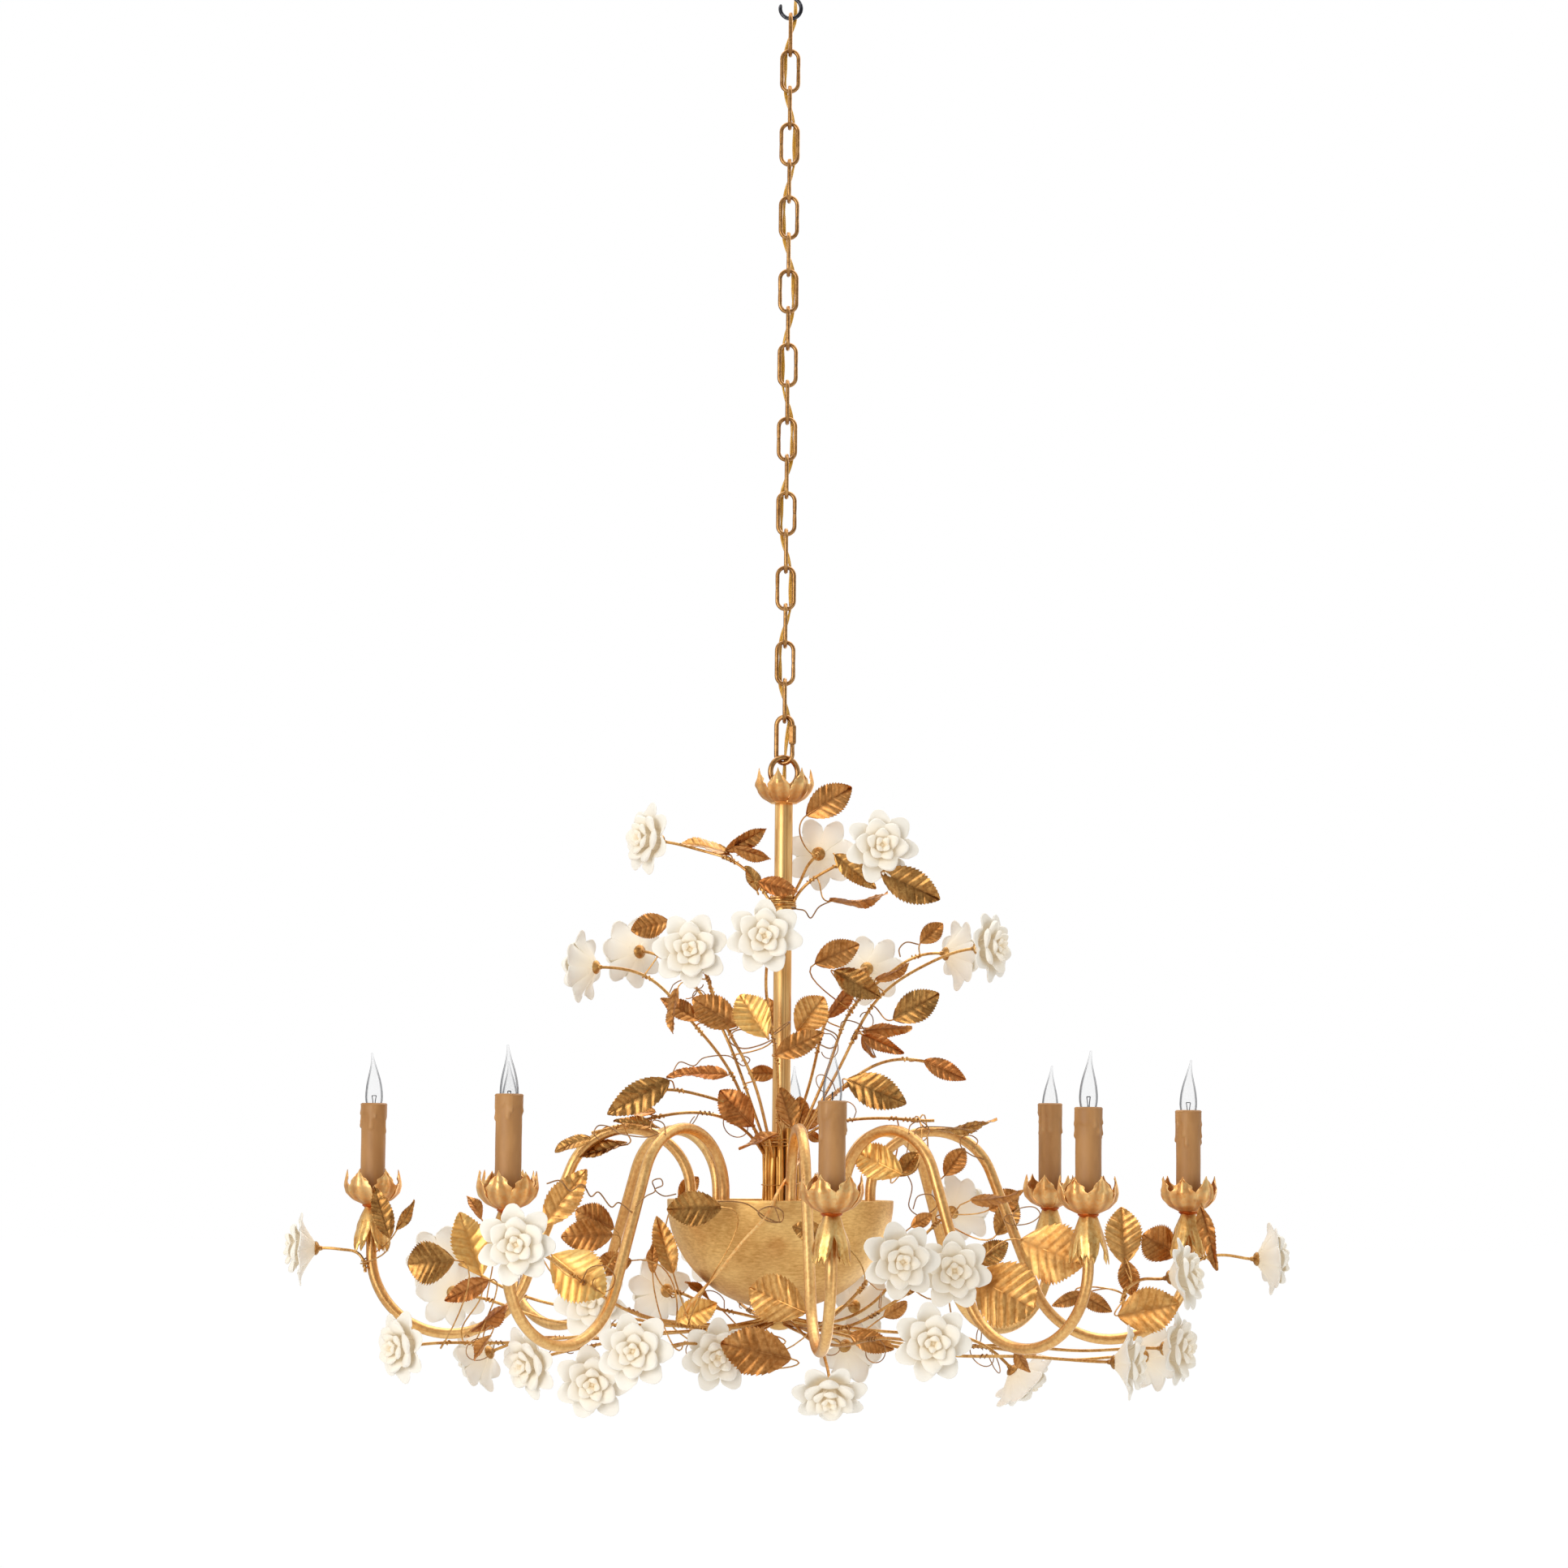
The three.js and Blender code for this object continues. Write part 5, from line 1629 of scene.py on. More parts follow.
@dataclass(frozen=True)
class Blossom:
    """A porcelain rosette: a ring of open petals, three rings that stand up and fold over."""

    radius: float = 37.0
    petals: int = 7
    depth: float = 18.0
    thickness: float = 1.4
    # each standing ring: petals, foot and lip from the middle, lip's height, half width and roll
    rings: tuple[tuple[float, ...], ...] = (
        (6, 0.25, 0.5, 25.5, 0.29, 0.19),
        (5, 0.14, 0.28, 30.0, 0.19, 0.14),
        (4, 0.05, 0.11, 31.5, 0.12, 0.09),
    )

    def add(self, shape: Shape, at: Matrix, seed: int) -> None:
        """Adds one, facing along its own Z.

        Args:
            shape: What it is added to.
            at: Where its back stands and the way that it faces.
            seed: What sets its own small differences.
        """
        chance = np.random.default_rng(seed)
        start = chance.uniform(0, 360)
        for petal in range(self.petals):
            self._add_open(shape, at, start + 360 / self.petals * petal, petal, chance)
        for number, (petals, base, lip, height, half, roll) in enumerate(self.rings):
            for petal in range(petals):
                angle = start + 26 * number + 360 / petals * petal + chance.uniform(-8, 8)
                tall = height + chance.uniform(-1.2, 1.2)
                reach = lip * chance.uniform(0.93, 1.07)
                wide = half * chance.uniform(0.9, 1.08)
                grid, hollow = self._standing(base, reach, tall, wide, roll, 0.3 + 0.15 * number)
                place = at @ turned(angle) @ moved(0, chance.uniform(-0.6, 0.6), 0)
                shape.sheet(grid, self.thickness, Finish.PORCELAIN, hollow, place)
        heart = [(0.2, 2), (3.0, 2), (3.2, 20), (2.4, 24.5), (1.4, 25.6), (0.2, 26)]
        # painted glow: the heart takes nearly all of the cream and its emission
        shape.lathe(heart, Finish.PORCELAIN, 14, at, 0.9)
        calyx = [(1.4, -4.5), (2, -4), (2.6, -1.4), (5.6, 0.1), (7, 1.9), (6.6, 3.2), (0.4, 3.6)]
        # painted shade: the calyx behind the blossom is a little browner
        shape.lathe(calyx, Finish.WIRE, 16, at, 0.3)

    def _add_open(
        self, shape: Shape, at: Matrix, angle: float, number: int, chance: np.random.Generator
    ) -> None:
        """One petal of the open ring, rounded and dished like a spoon.

        Args:
            shape: What it is added to.
            at: Where the blossom stands.
            angle: Which way the petal points, in degrees.
            number: Its place in the ring.
            chance: What gives it its own size and tilt.
        """
        along = np.linspace(0, 1, 10)[:, None]
        across = np.linspace(-1, 1, 9)[None]
        reach = self.radius * chance.uniform(0.93, 1.0)
        half = self.radius * 0.275 * chance.uniform(0.94, 1.06)
        broad = np.interp(along, (0, 0.25, 0.45, 0.62, 0.8, 1), (0.42, 0.6, 0.82, 0.97, 1.04, 0.98))
        rounded = along * (1 - 0.3 * np.abs(across) ** 2.6 * along**2)
        out = reach * (0.1 + 0.9 * rounded)
        side = half * broad * across
        dish = 1.9 * across**2 * np.sin(along * math.pi) + 1.2 * np.abs(across) ** 3 * along
        curl = -2.2 * np.clip(along - 0.72, 0, 1) ** 2 / 0.078 * 0.5
        rise = 3.0 + (self.depth - 3.2) * np.sin(along * math.pi / 2) ** 1.2 + dish + curl
        tilt = chance.uniform(-0.07, 0.07) + (0.05 if number % 2 else -0.05)
        rise = rise + side * tilt + chance.uniform(-0.6, 0.4) * along
        # painted glow: the cream and its emission towards the petals' feet
        hollow = np.clip(1.05 - along * 1.5, 0, 1)
        place = at @ turned(angle + chance.uniform(-4, 4))
        shape.sheet(gather(out, side, rise), self.thickness, Finish.PORCELAIN, hollow, place)

    def _standing(
        self, base: float, lip: float, height: float, half: float, roll: float, shade: float
    ) -> tuple[Array, Array]:
        """One petal that stands up and folds out at its lip, which narrows to its ends.

        Args:
            base: How far out it stands, as a share of the radius.
            lip: How far out its lip is.
            height: Of its lip above the blossom's back.
            half: Half of its width, as a share of the radius.
            roll: How far the lip folds over, as a share of the radius.
            shade: How sheltered its foot is.

        Returns:
            Its grid, and how sheltered each point is.
        """
        across = np.linspace(-1, 1, 11)[None]
        full = np.clip(1 - np.abs(across) ** 1.7, 0, 1)
        foot, edge = base * self.radius, lip * self.radius
        fold = roll * self.radius * full
        stages = np.linspace(0, 1, 10)[:, None]
        turn = np.clip((stages - 0.52) / 0.48, 0, 1)
        lift = np.clip(stages / 0.52, 0, 1)
        out = foot + (edge - foot) * lift**1.5 + fold * np.sin(turn * math.pi * 0.6)
        low = height * (0.86 + 0.14 * full)
        level = 3 + 15 * base
        rise = level + (low - level) * np.sin(lift * math.pi / 2)
        rise = rise + fold * (0.3 * np.sin(turn * math.pi) - 0.3 * turn**2)
        wide = half * self.radius * (0.7 + 0.3 * np.clip(stages * 2, 0, 1))
        # painted glow: more cream and emission towards each petal's foot
        hollow = np.clip(shade + 0.75 * (0.5 - stages), 0, 1)
        return gather(out - 0.2 * wide * across**2, wide * across, rise), hollow


@dataclass(frozen=True)
class Leaf:
    """A toothed leaf pressed from thin sheet, veined in pleats and folded along its midrib."""

    width: float = 0.63
    fold: float = 0.24
    arch: float = 0.05
    teeth: int = 16
    veins: int = 7
    thickness: float = 0.5
    columns: int = 9

    def add(self, shape: Shape, at: Matrix, long: float, finish: Finish, seed: int) -> None:
        """Adds a leaf along its own X, its face along Z.

        Args:
            shape: What it is added to.
            at: Where its base stands.
            long: Its length.
            finish: What it is finished in.
            seed: What sets its own curl and width.
        """
        chance = np.random.default_rng(seed)
        rows = self.teeth * 3 + 1
        up = np.linspace(0.004, 1, rows)[:, None]
        across = np.linspace(-1, 1, self.columns)[None]
        apart = np.abs(across)
        half = long * self.width / 2 * chance.uniform(0.9, 1.08)
        body = np.sin(math.pi * up**0.62) ** 0.82 + 0.012
        tooth = 1 + 0.055 * ((np.arange(rows) % 3)[:, None] - 1) * (apart > 0.95)
        side = half * body * across * tooth
        forward = 0.62 * np.abs(side)
        phase = (up * self.veins) % 1
        groove = np.exp(-(((phase + 0.5) % 1 - 0.5) / 0.11) ** 2)
        pillow = np.sin(phase * math.pi) ** 0.8
        ends = np.sin(math.pi * np.clip(up, 0, 1)) ** 0.5 * np.clip(apart * 4, 0, 1)
        deep = 0.009 * chance.uniform(0.6, 1.3)
        emboss = long * deep * (pillow - groove * 0.8) * ends
        curl = chance.uniform(-0.05, 0.09) * long * (up - 0.5) ** 2 * 4
        wave = long * 0.034 * np.sin(up * 8 + chance.uniform(0, 6) + across) * apart**2
        wave = wave + long * 0.012 * np.sin(up * 6 + across * 3 + chance.uniform(0, 6)) * apart
        fold = self.fold * chance.uniform(0.4, 1.3) * np.abs(side)
        rib = -long * 0.006 * (apart < 0.1)
        arch = 4 * self.arch * long * up * (1 - up)
        twist = chance.uniform(-0.25, 0.25) * side * (up - 0.4)
        height = arch + emboss + curl + wave + fold + rib + twist
        out = long * up + forward * (1 - up * 0.12)
        grid = gather(out * (long / out.max()), side, height)
        # painted shade: browner in the vein grooves and along the midrib
        hollow = np.clip(groove * ends * 0.55 + 0.7 * (apart < 0.1), 0, 1)
        shape.sheet(grid, self.thickness, finish, hollow, at)
        share = np.array((0, 0.2, 0.4, 0.6))
        spine = gather(long * share, 0.0, 4 * self.arch * long * share * (1 - share) - 0.4)
        shape.tube(spine, np.array((0.8, 0.7, 0.6, 0.3)), finish, 6, at)


# how a leaf's gilding has aged: still pale, gold, brown, red or dark
P, G, B = Finish.LEAF_PALE, Finish.LEAF_GOLD, Finish.LEAF_BROWN
R, D = Finish.LEAF_RED, Finish.LEAF_DARK
PLAIN = (0, B, Leaf.width)  # a leaf's turn, tint and width where its growth gives none
THIN, LONG = Finish.TENDRIL, Finish.CUP  # what loose wires are finished in


@dataclass(frozen=True)
class Growth:
    """What grows in a spray, its places in hundredths of the spread from the spray's foot.

    A place is how far it is across, back and above. A blossom is the place of its open petals,
    the bearing and the tilt that they face, and the place that its wire springs up from where
    that isn't the spray's own root. A bare wire is the same of its end. A leaf is its base, its
    tip, and then the degrees that it is turned from facing the front, its tint and its width as
    a share of its length, as far as they aren't the plain ones. A loose wire is its finish, its
    radius and the places it is bent through.
    """

    foot: float
    blossoms: tuple[tuple[float, ...], ...]
    leaves: tuple[tuple[object, ...], ...]
    bare: tuple[tuple[float, ...], ...] = ()
    loose: tuple[tuple[object, ...], ...] = ()
    spread: float = 500.0

    def place(self, across: float, back: float, above: float) -> Vector:
        """A place in millimetres, above the rim."""
        share = self.spread / 100
        return Vector((across * share, back * share, self.foot + above * share))


def leaf_frame(base: Vector, tip: Vector, turn: float) -> Matrix:
    """Where a leaf stands, its face to the front and then turned.

    Args:
        base: Where it starts.
        tip: Where it ends.
        turn: How far it is turned, in degrees.

    Returns:
        Its own frame.
    """
    along = (tip - base).normalized()
    out = Vector((0, -1, 0))
    out = (out - along * out.dot(along)).normalized()
    out = Quaternion(along, math.radians(turn)) @ out
    frame = Matrix((along, out.cross(along), out)).transposed().to_4x4()
    frame.translation = base
    return frame


def facing(place: Vector, towards: Vector) -> Matrix:
    """A frame whose Z points a given way.

    Args:
        place: Where it stands.
        towards: The way.

    Returns:
        The frame.
    """
    frame = towards.to_track_quat("Z", "Y").to_matrix().to_4x4()
    frame.translation = place
    return frame


@dataclass
class Spray:
    """Wires that leave the stem or the finial and carry blossoms and leaves."""

    name: str
    growth: Growth
    wire: float = 1.5
    twig: float = 0.75
    spring: float = 0.45  # how far a wire goes on as it leaves, as a share of its span
    ease: float = 0.35  # how far it comes straight to its end
    twigs_from: tuple[int, int] = (4, 28)  # the points of a wire that twigs grow between
    tendril_from: float = 110.0  # the shortest wire that has a tendril
    blossom: Blossom = field(default_factory=Blossom)
    leaf: Leaf = field(default_factory=Leaf)
    shape: Shape = field(default_factory=Shape)
    lines: list[Array] = field(default_factory=list)

    def root(self, bearing: float, number: int) -> tuple[Vector, Vector]:
        """Where a wire that goes out on a bearing starts, and the way it leaves."""
        raise NotImplementedError

    def build(self) -> Shape:
        """Bends the wires, and sets the blossoms, leaves and tendrils on them.

        Returns:
            The spray's mesh.
        """
        seed = sum(map(ord, self.name))
        growth = self.growth
        for number, spot in enumerate((*growth.blossoms, *growth.bare)):
            across, back, above, bearing, tilt, *rooted = spot
            blooms = number < len(growth.blossoms)
            towards = heading(bearing, tilt)
            end = growth.place(across, back, above)
            if blooms:
                end -= towards * self.blossom.depth
            start, leaving = self.root(math.degrees(math.atan2(back, across)), number)
            if rooted:
                start, leaving = growth.place(*rooted), UP
            self._add_wire(start, leaving, end, towards, seed + number)
            if blooms:
                self.blossom.add(self.shape, RIM @ facing(end, towards), seed * 7 + number)
        for number, (x, y, z, tip_x, tip_y, tip_z, *how) in enumerate(growth.leaves):
            base, tip = growth.place(x, y, z), growth.place(tip_x, tip_y, tip_z)
            turn, tint, wide = (*how, *PLAIN[len(how):])
            frame, long = RIM @ leaf_frame(base, tip, turn), (tip - base).length
            leaf = replace(self.leaf, width=wide)
            leaf.add(self.shape, frame, long, tint, seed * 3 + number)
            self._add_twig(base, (tip - base).normalized(), seed + number)
        self._add_tendrils(seed)
        for finish, radius, *places in growth.loose:
            line = spline([tuple(growth.place(*spot)) for spot in places], 6)
            self.shape.tube(line, radius, finish, 8, RIM)
        return self.shape

    def _add_wire(
        self, start: Vector, leaving: Vector, end: Vector, towards: Vector, seed: int
    ) -> None:
        """One gilded wire, hand bent, so not quite smooth.

        Args:
            start: Its root.
            leaving: The way it leaves it.
            end: Where it ends.
            towards: The way it comes to its end.
            seed: What sets how it wanders.
        """
        span = (end - start).length
        after, before = start + leaving * span * self.spring, end - towards * span * self.ease
        line = bezier((start, after, before, end), 30)
        share = np.linspace(0, 1, 31)
        chance = np.random.default_rng(seed)
        across, over = crossways(line)
        wander = np.sin(share * math.pi)[:, None] * span * 0.012
        line = line + across * wander * np.sin(share * chance.uniform(6, 12) + 1)[:, None]
        line = line + over * wander * np.sin(share * chance.uniform(6, 12) + 2)[:, None]
        self.lines.append(line)
        self.shape.tube(line, self.wire, Finish.WIRE, 8, RIM)

    def _nearest(self, point: Vector) -> tuple[Array, int]:
        """Finds the wire that comes nearest to a point, its ends aside.

        Args:
            point: The point.

        Returns:
            The wire, and which of its points is the nearest.
        """
        start, end = self.twigs_from
        gaps = np.array([np.linalg.norm(line[start:end] - point, axis=1) for line in self.lines])
        wire, at = np.unravel_index(gaps.argmin(), gaps.shape)
        return self.lines[wire], start + int(at)

    def _coil(self, line: Array, at: int, radius: float, turns: float, way: int) -> Array:
        """A helix wound round a wire, which ends at one of its points.

        Args:
            line: The wire's points.
            at: Which of them it ends at.
            radius: Of the helix.
            turns: How many turns it makes.
            way: 1 or -1, for which way it winds.

        Returns:
            Its points.
        """
        steps = int(turns * 8)
        across, over = crossways(line)
        ahead = unit(np.cross(across, over))[at]
        angles = np.linspace(-turns * 2 * math.pi, 0, steps)[:, None] * way
        along = np.linspace(-turns * 2.1 * radius, 0, steps)[:, None]
        around = across[at] * np.cos(angles) + over[at] * np.sin(angles)
        return line[at] + around * radius + ahead * along

    def _add_twig(self, base: Vector, along: Vector, seed: int) -> None:
        """The fine wire that carries a leaf, wound on its wire and bent out to the leaf.

        Args:
            base: Where the leaf starts.
            along: The way that it points.
            seed: What sets how the twig winds.
        """
        line, at = self._nearest(base)
        chance = np.random.default_rng(seed)
        way = 1 if chance.uniform() < 0.5 else -1
        coil = self._coil(line, at, self.wire + self.twig * 0.7, chance.uniform(1.2, 2.4), way)
        gap = float(np.linalg.norm(np.array(base) - coil[-1]))
        start, leave = Vector(coil[-1]), Vector(coil[-1] - coil[-2]).normalized()
        corners = (start, start + leave * gap * 0.35, base - along * gap * 0.4, base + along * 1.5)
        path = np.vstack([coil, bezier(corners, 12)[1:]])
        self.shape.tube(path, self.twig, Finish.WIRE, 6, RIM)

    def _add_tendrils(self, seed: int) -> None:
        """A curled end of thin wire on every wire of any length.

        Args:
            seed: What sets how they curl.
        """
        chance = np.random.default_rng(seed + 5)
        for line in self.lines:
            if np.linalg.norm(line[-1] - line[0]) < self.tendril_from:
                continue
            at = int(chance.uniform(11, 24))
            way = 1 if chance.uniform() < 0.5 else -1
            coil = self._coil(line, at, self.wire + 0.6, chance.uniform(2, 3.5), way)
            self.shape.tube(self._curl(coil, chance), 0.55, Finish.TENDRIL, 6, RIM)

    @staticmethod
    def _curl(coil: Array, chance: np.random.Generator) -> Array:
        """A coil of thin wire carried on into a loose curl.

        Args:
            coil: Its points.
            chance: What sets its size and the way it goes.

        Returns:
            The points of both.
        """
        start = Vector(coil[-1])
        out = Vector(coil[-1] - coil[-2]).normalized()
        size = chance.uniform(11, 20)
        side = Vector((chance.uniform(-1, 1), chance.uniform(-0.4, 0.4), chance.uniform(-1, 1)))
        side = (side - out * side.dot(out)).normalized()
        sweep = chance.uniform(3.6, 6.4)
        centre = np.array(start + out * size * 0.4 + side * size * 0.9)
        share = np.linspace(0, 1, 23)[1:, None]
        radius = size * (1 - 0.62 * share)
        spoke = np.sin(share * sweep) * np.array(out) - np.cos(share * sweep) * np.array(side)
        points = centre + spoke * radius
        return np.vstack([coil, (coil[-1] + points[0]) / 2, points])


@dataclass
class BoundSpray(Spray):
    """Wires tied round the stem, each leaving it upwards towards its own end."""

    height: float = 12.0
    rise: float = 62.0
    reach: float = 11.4
    thickness: float = 3.0

    def root(self, bearing: float, number: int) -> tuple[Vector, Vector]:
        """Round the stem, in two rows."""
        level = self.growth.foot + self.height * (0.35 + 0.3 * (number % 2))
        return Vector(polar(self.reach, math.radians(bearing), level)), heading(bearing, self.rise)

    def add_binding(self) -> None:
        """Winds wire round the stem over the roots."""
        turns = self.height / 2.2
        angles = np.linspace(0, 2 * math.pi * turns, int(turns * 20))
        level = self.growth.foot + self.height * np.linspace(0, 1, len(angles))
        out = self.reach + 1.0 + 0.35 * np.sin(angles * 2.3)
        self.shape.tube(polar(out, angles, level), 1.15, Finish.WIRE, 6, RIM)


@dataclass
class LowSpray(Spray):
    """Wires gathered beside the finial under the bowl, which fan out below the arms."""

    bearing: float = 0.0
    reach: float = 13.8
    fall: float = -12.0

    def root(self, bearing: float, number: int) -> tuple[Vector, Vector]:
        """Finds a wire's root, beside the finial and below the last one's.

        Args:
            bearing: The way that the wire goes out, in degrees.
            number: Its place in the spray.

        Returns:
            Where it starts, and the way it leaves.
        """
        turn = (bearing - self.bearing + 180) % 360 - 180
        level = self.growth.foot + 4 - 2 * number
        start = Vector(polar(self.reach, math.radians(self.bearing), level))
        return start, heading(self.bearing + turn / 2, self.fall)
CROWN = Growth(
    foot=286,
    loose=(
        (THIN, 0.7, (2.7, -3, -0.3), (4.3, -4, -0.7), (5.5, -4, -2.1), (7.1, -4, 0.1),
         (9.8, -4, 1.4)),
    ),
    blossoms=(
        (-27, 0, 13.5, 214, 5), (7.5, 8, 11.5, 80, 5), (19, -12, 11.5, 278, 5),
    ),
    leaves=(
        (4.4, 0, 18.4, 13.4, 0, 24.2, 0, B, 0.58), (-11.6, 0, 11.3, -3.5, 0, 15.9, 30, B, 0.42),
        (-10.5, 0, 10.5, -20.5, 0, 12.5, 65, D), (-5, -4, 3, -7.5, -4, 8, 45, D),
        (-4.9, -6, 4.8, 2.8, -6, 2.9, 0, R, 0.46), (10, -6, 10.3, 18.2, -6, 3.6, 0, D, 0.42),
        (18.9, -12, 6.5, 30.5, -12, 1.2, 0, D, 0.52), (9, -4, 1.2, 20.6, -4, 2.7, 76, B, 0.5),
        (-10.1, 0, 12.2, -2.4, 0, 10, 40, B, 0.4),
    ),
)

MIDDLE = Growth(
    foot=26,
    loose=(
        (LONG, 1.5, (3.8, -3, 2.8), (2.2, -12, 0.5), (-0.6, -21.5, -3.8), (-2.6, -23.6, -8),
         (-7.2, -23.6, -13.1), (-11.8, -22.4, -19), (-17, -16, -25), (-19, -10, -29)),
        (THIN, 0.7, (-1, -23.6, -6.5), (-0.3, -23.8, -9.2), (-3, -23.8, -8.8), (-4.2, -23.8, -7.3),
         (-1.9, -23.8, -6.3), (0.4, -23.8, -7.2), (0.1, -23.8, -9.2), (-2.7, -23.8, -8.4),
         (-6.6, -23.2, -5.8), (-12, -21, -5.5), (-16.7, -15, -6.7)),
        (THIN, 0.6, (-21.4, -6, 19), (-19.9, -6, 21.4), (-17.1, -6, 20.7), (-15.1, -6, 22.3),
         (-10.4, -6, 22.7), (-7.6, -6, 20.8), (-6.2, -6, 21.9), (-7.2, -6, 22.6), (-7.8, -6, 21.6)),
        (THIN, 0.7, (-1.7, -9, 25.9), (-4.4, -12, 24.6), (-7.6, -12, 24), (-10.1, -12, 25.3),
         (-9.2, -12, 27.3), (-6.4, -12, 27.7), (-5.2, -12, 26.6)),
        (THIN, 0.7, (8.2, -4, 28.3), (10.6, -4, 27.1), (10.9, -4, 25.4), (9.5, -4, 24.4),
         (7.5, -4, 25.1), (4.7, -4, 26.2)),
        (THIN, 0.7, (23.1, -4, 42.4), (22.9, -4, 44), (24.3, -4, 45.3), (26.7, -4, 44.9)),
        (THIN, 0.6, (11.5, -2, 28), (11.8, -2, 29.6), (13.4, -2, 29.9), (15.8, -2, 28.7),
         (17.5, -2, 24.9), (18.5, -2, 22.7)),
        (THIN, 0.6, (25.8, 24.7, 6.1), (25.2, 24.7, 1.2), (26.6, 24.7, -2.5), (26, 24.7, -6.6),
         (28.5, 24.7, -8.4), (31.6, 24.7, -6.5), (30.5, 24.7, -4.2), (27.8, 24.7, -4.5),
         (26.8, 24.7, -7.1)),
        (THIN, 0.6, (46.4, -1.2, -8), (44.5, -1.8, -7.7), (43.8, -1.8, -8.8), (45.6, -1.8, -9.7),
         (48.8, -1.8, -9.3), (50.8, -1.8, -7.7), (49.6, -1.8, -6.2), (46.8, -1.8, -6.5),
         (45.4, -1.8, -8), (46.4, -1.8, -10.7)),
        (THIN, 0.6, (39.8, -1.2, 3), (37.4, -1.4, 3.8), (35.4, -1.4, 5.3), (35.2, -1.2, 7.1),
         (37.1, -1.2, 7.7), (38.6, -1.2, 6.6), (37.6, -1.2, 5)),
        (THIN, 0.6, (24.2, -25.9, 7.4), (24.6, -25.9, 9.3), (26.5, -25.9, 10.1),
         (28.1, -25.9, 8.6), (27.3, -25.9, 6.5), (25.6, -25.9, 7), (26.1, -25.9, 8.8),
         (31.1, -25.9, 9), (37.3, -25.9, 8.3)),
        (THIN, 0.7, (-27.8, -36.2, -7.5), (-30.2, -36.2, -5.7), (-31.7, -36.2, -6.5),
         (-34, -36.2, -3.8), (-35.5, -36.2, -4.6), (-37.1, -36.2, -2.4), (-39.4, -36.2, -3.6),
         (-41.3, -36.2, -1.7), (-43.8, -36.2, -2.3)),
        (THIN, 0.6, (-27.1, -35.8, -6.4), (-25.2, -35.8, -4.5), (-23.5, -35.8, -3.5),
         (-24, -35.8, -1.7), (-22.5, -35.8, -1.2), (-22.1, -35.8, -2.4), (-23.5, -35.8, -3.2),
         (-21.8, -35.8, -4.4), (-19.5, -35.8, -4)),
        (THIN, 0.6, (-21.8, -29.3, 6.6), (-22.2, -29.3, 9.1), (-24.1, -29.3, 9.8),
         (-24.6, -29.3, 8.3), (-23.3, -29.3, 7.4), (-25.6, -29.3, 6.6), (-30.3, -29.3, 7.2),
         (-32.2, -29.3, 8.4), (-34.5, -29.3, 8.7), (-35.4, -29.3, 7.2), (-34.3, -29.3, 6)),
    ),
    blossoms=(
        (-39.5, 0, 40, 155, 0), (-30.5, 18, 44, 125, 0), (-17.5, -30, 42, 268, 3),
        (-3.5, -34, 44.5, 270, 0), (18, 30, 41.5, 75, 0), (35.5, 14, 44, 25, 0),
        (41, -4, 44.5, 330, 3),
    ),
    bare=(
        (-23, -7, 16, 190, 0), (13, -11, 17, 300, 10), (28, -3, 22, 350, -10),
        (-37, -4.5, 7.5, 185, -15), (30, -3, 10.5, 355, 5),
    ),
    leaves=(
        (-22.2, -8, 48.8, -29.6, -8, 46.9, 0, B, 0.6), (6.3, -4, 40.9, 15, -4, 44.8, 0, B, 0.55),
        (10.1, 0, 39.8, 19.5, 0, 34.6, 0, D, 0.5), (18.3, 0, 38.1, 25, 0, 41.4, 60, B, 0.5),
        (27.5, 12, 46, 32, 12, 50), (-16.1, -8, 29.3, -23.8, -8, 33.5, 20, B, 0.42),
        (-20.3, -12, 35.6, -21, -12, 26.7, 60, B, 0.4),
        (-8.6, -12, 28.3, -17.4, -12, 33.6, 0, B, 0.62),
        (-2.8, -16, 25.9, -8.2, -13.5, 34.2, 0, P, 0.66), (-1.5, 4, 27, -3, 4, 34.5),
        (2.9, 4, 27.9, 8.3, 3.1, 34.7, 0, G, 0.74), (8.9, 4, 30.7, 14, 4, 37.4, 40, R, 0.5),
        (-1.3, -12, 22.6, 8.2, -12, 27.3, 0, B, 0.46), (21.8, 0, 30.2, 30.9, 0, 35.5, 0, D, 0.58),
        (15.7, 0, 28.5, 25.6, 0, 29.2, 50, B, 0.45), (15.8, -4, 27.2, 24, -4, 23.7, 20, R, 0.35),
        (27.8, -4, 22.2, 36.1, -4, 18.5, 0, R, 0.38),
        (-10.5, -4, 19, -22.5, -4, 18.5, 45, R, 0.32),
        (-21.7, -8, 17.8, -33.8, -8, 11.1, 0, D, 0.42), (-5.5, -4, 9, -12, -4, 16, 0, R),
        (12.6, -12, 18.2, 24.2, -12, 13.6, 0, D, 0.5), (2, -6, 9, -0.5, -6, 16.5, 30),
        (4, 6, 8.5, 7.5, 6, 12.5), (-24.5, -2, 11, -33, -2, 11.5, 65),
        (-24.2, -8, 8.6, -32.6, -8, 9.6, 40, D, 0.34), (-37, -5, 6.5, -44.1, -5, 3.8, 40, D, 0.42),
        (30.4, -4, 8.7, 42.2, -4, 10.9, 60, D, 0.3), (23.5, -12, 0, 14, -8.6, 4.5, 0, P),
        (15.8, 0, 27.1, 18.4, 0, 22.8, 70), (-1, 4, 19.5, -6.6, 4, 19.6),
        (3.8, 6, 9.7, 3.7, 6, 15.1), (5.1, 6, 8.1, 7.8, 6, 6.3), (-0.3, -6, 7.3, -8, -6, 4.1, 75),
        (-30, 0, 5.4, -40.3, 0, 2.2, 50, D, 0.36), (23.5, 12, -0.5, 27.3, 12, 4.4, 0, D),
        (32.8, 16, -0.3, 36.8, 16, 5.2),
    ),
)

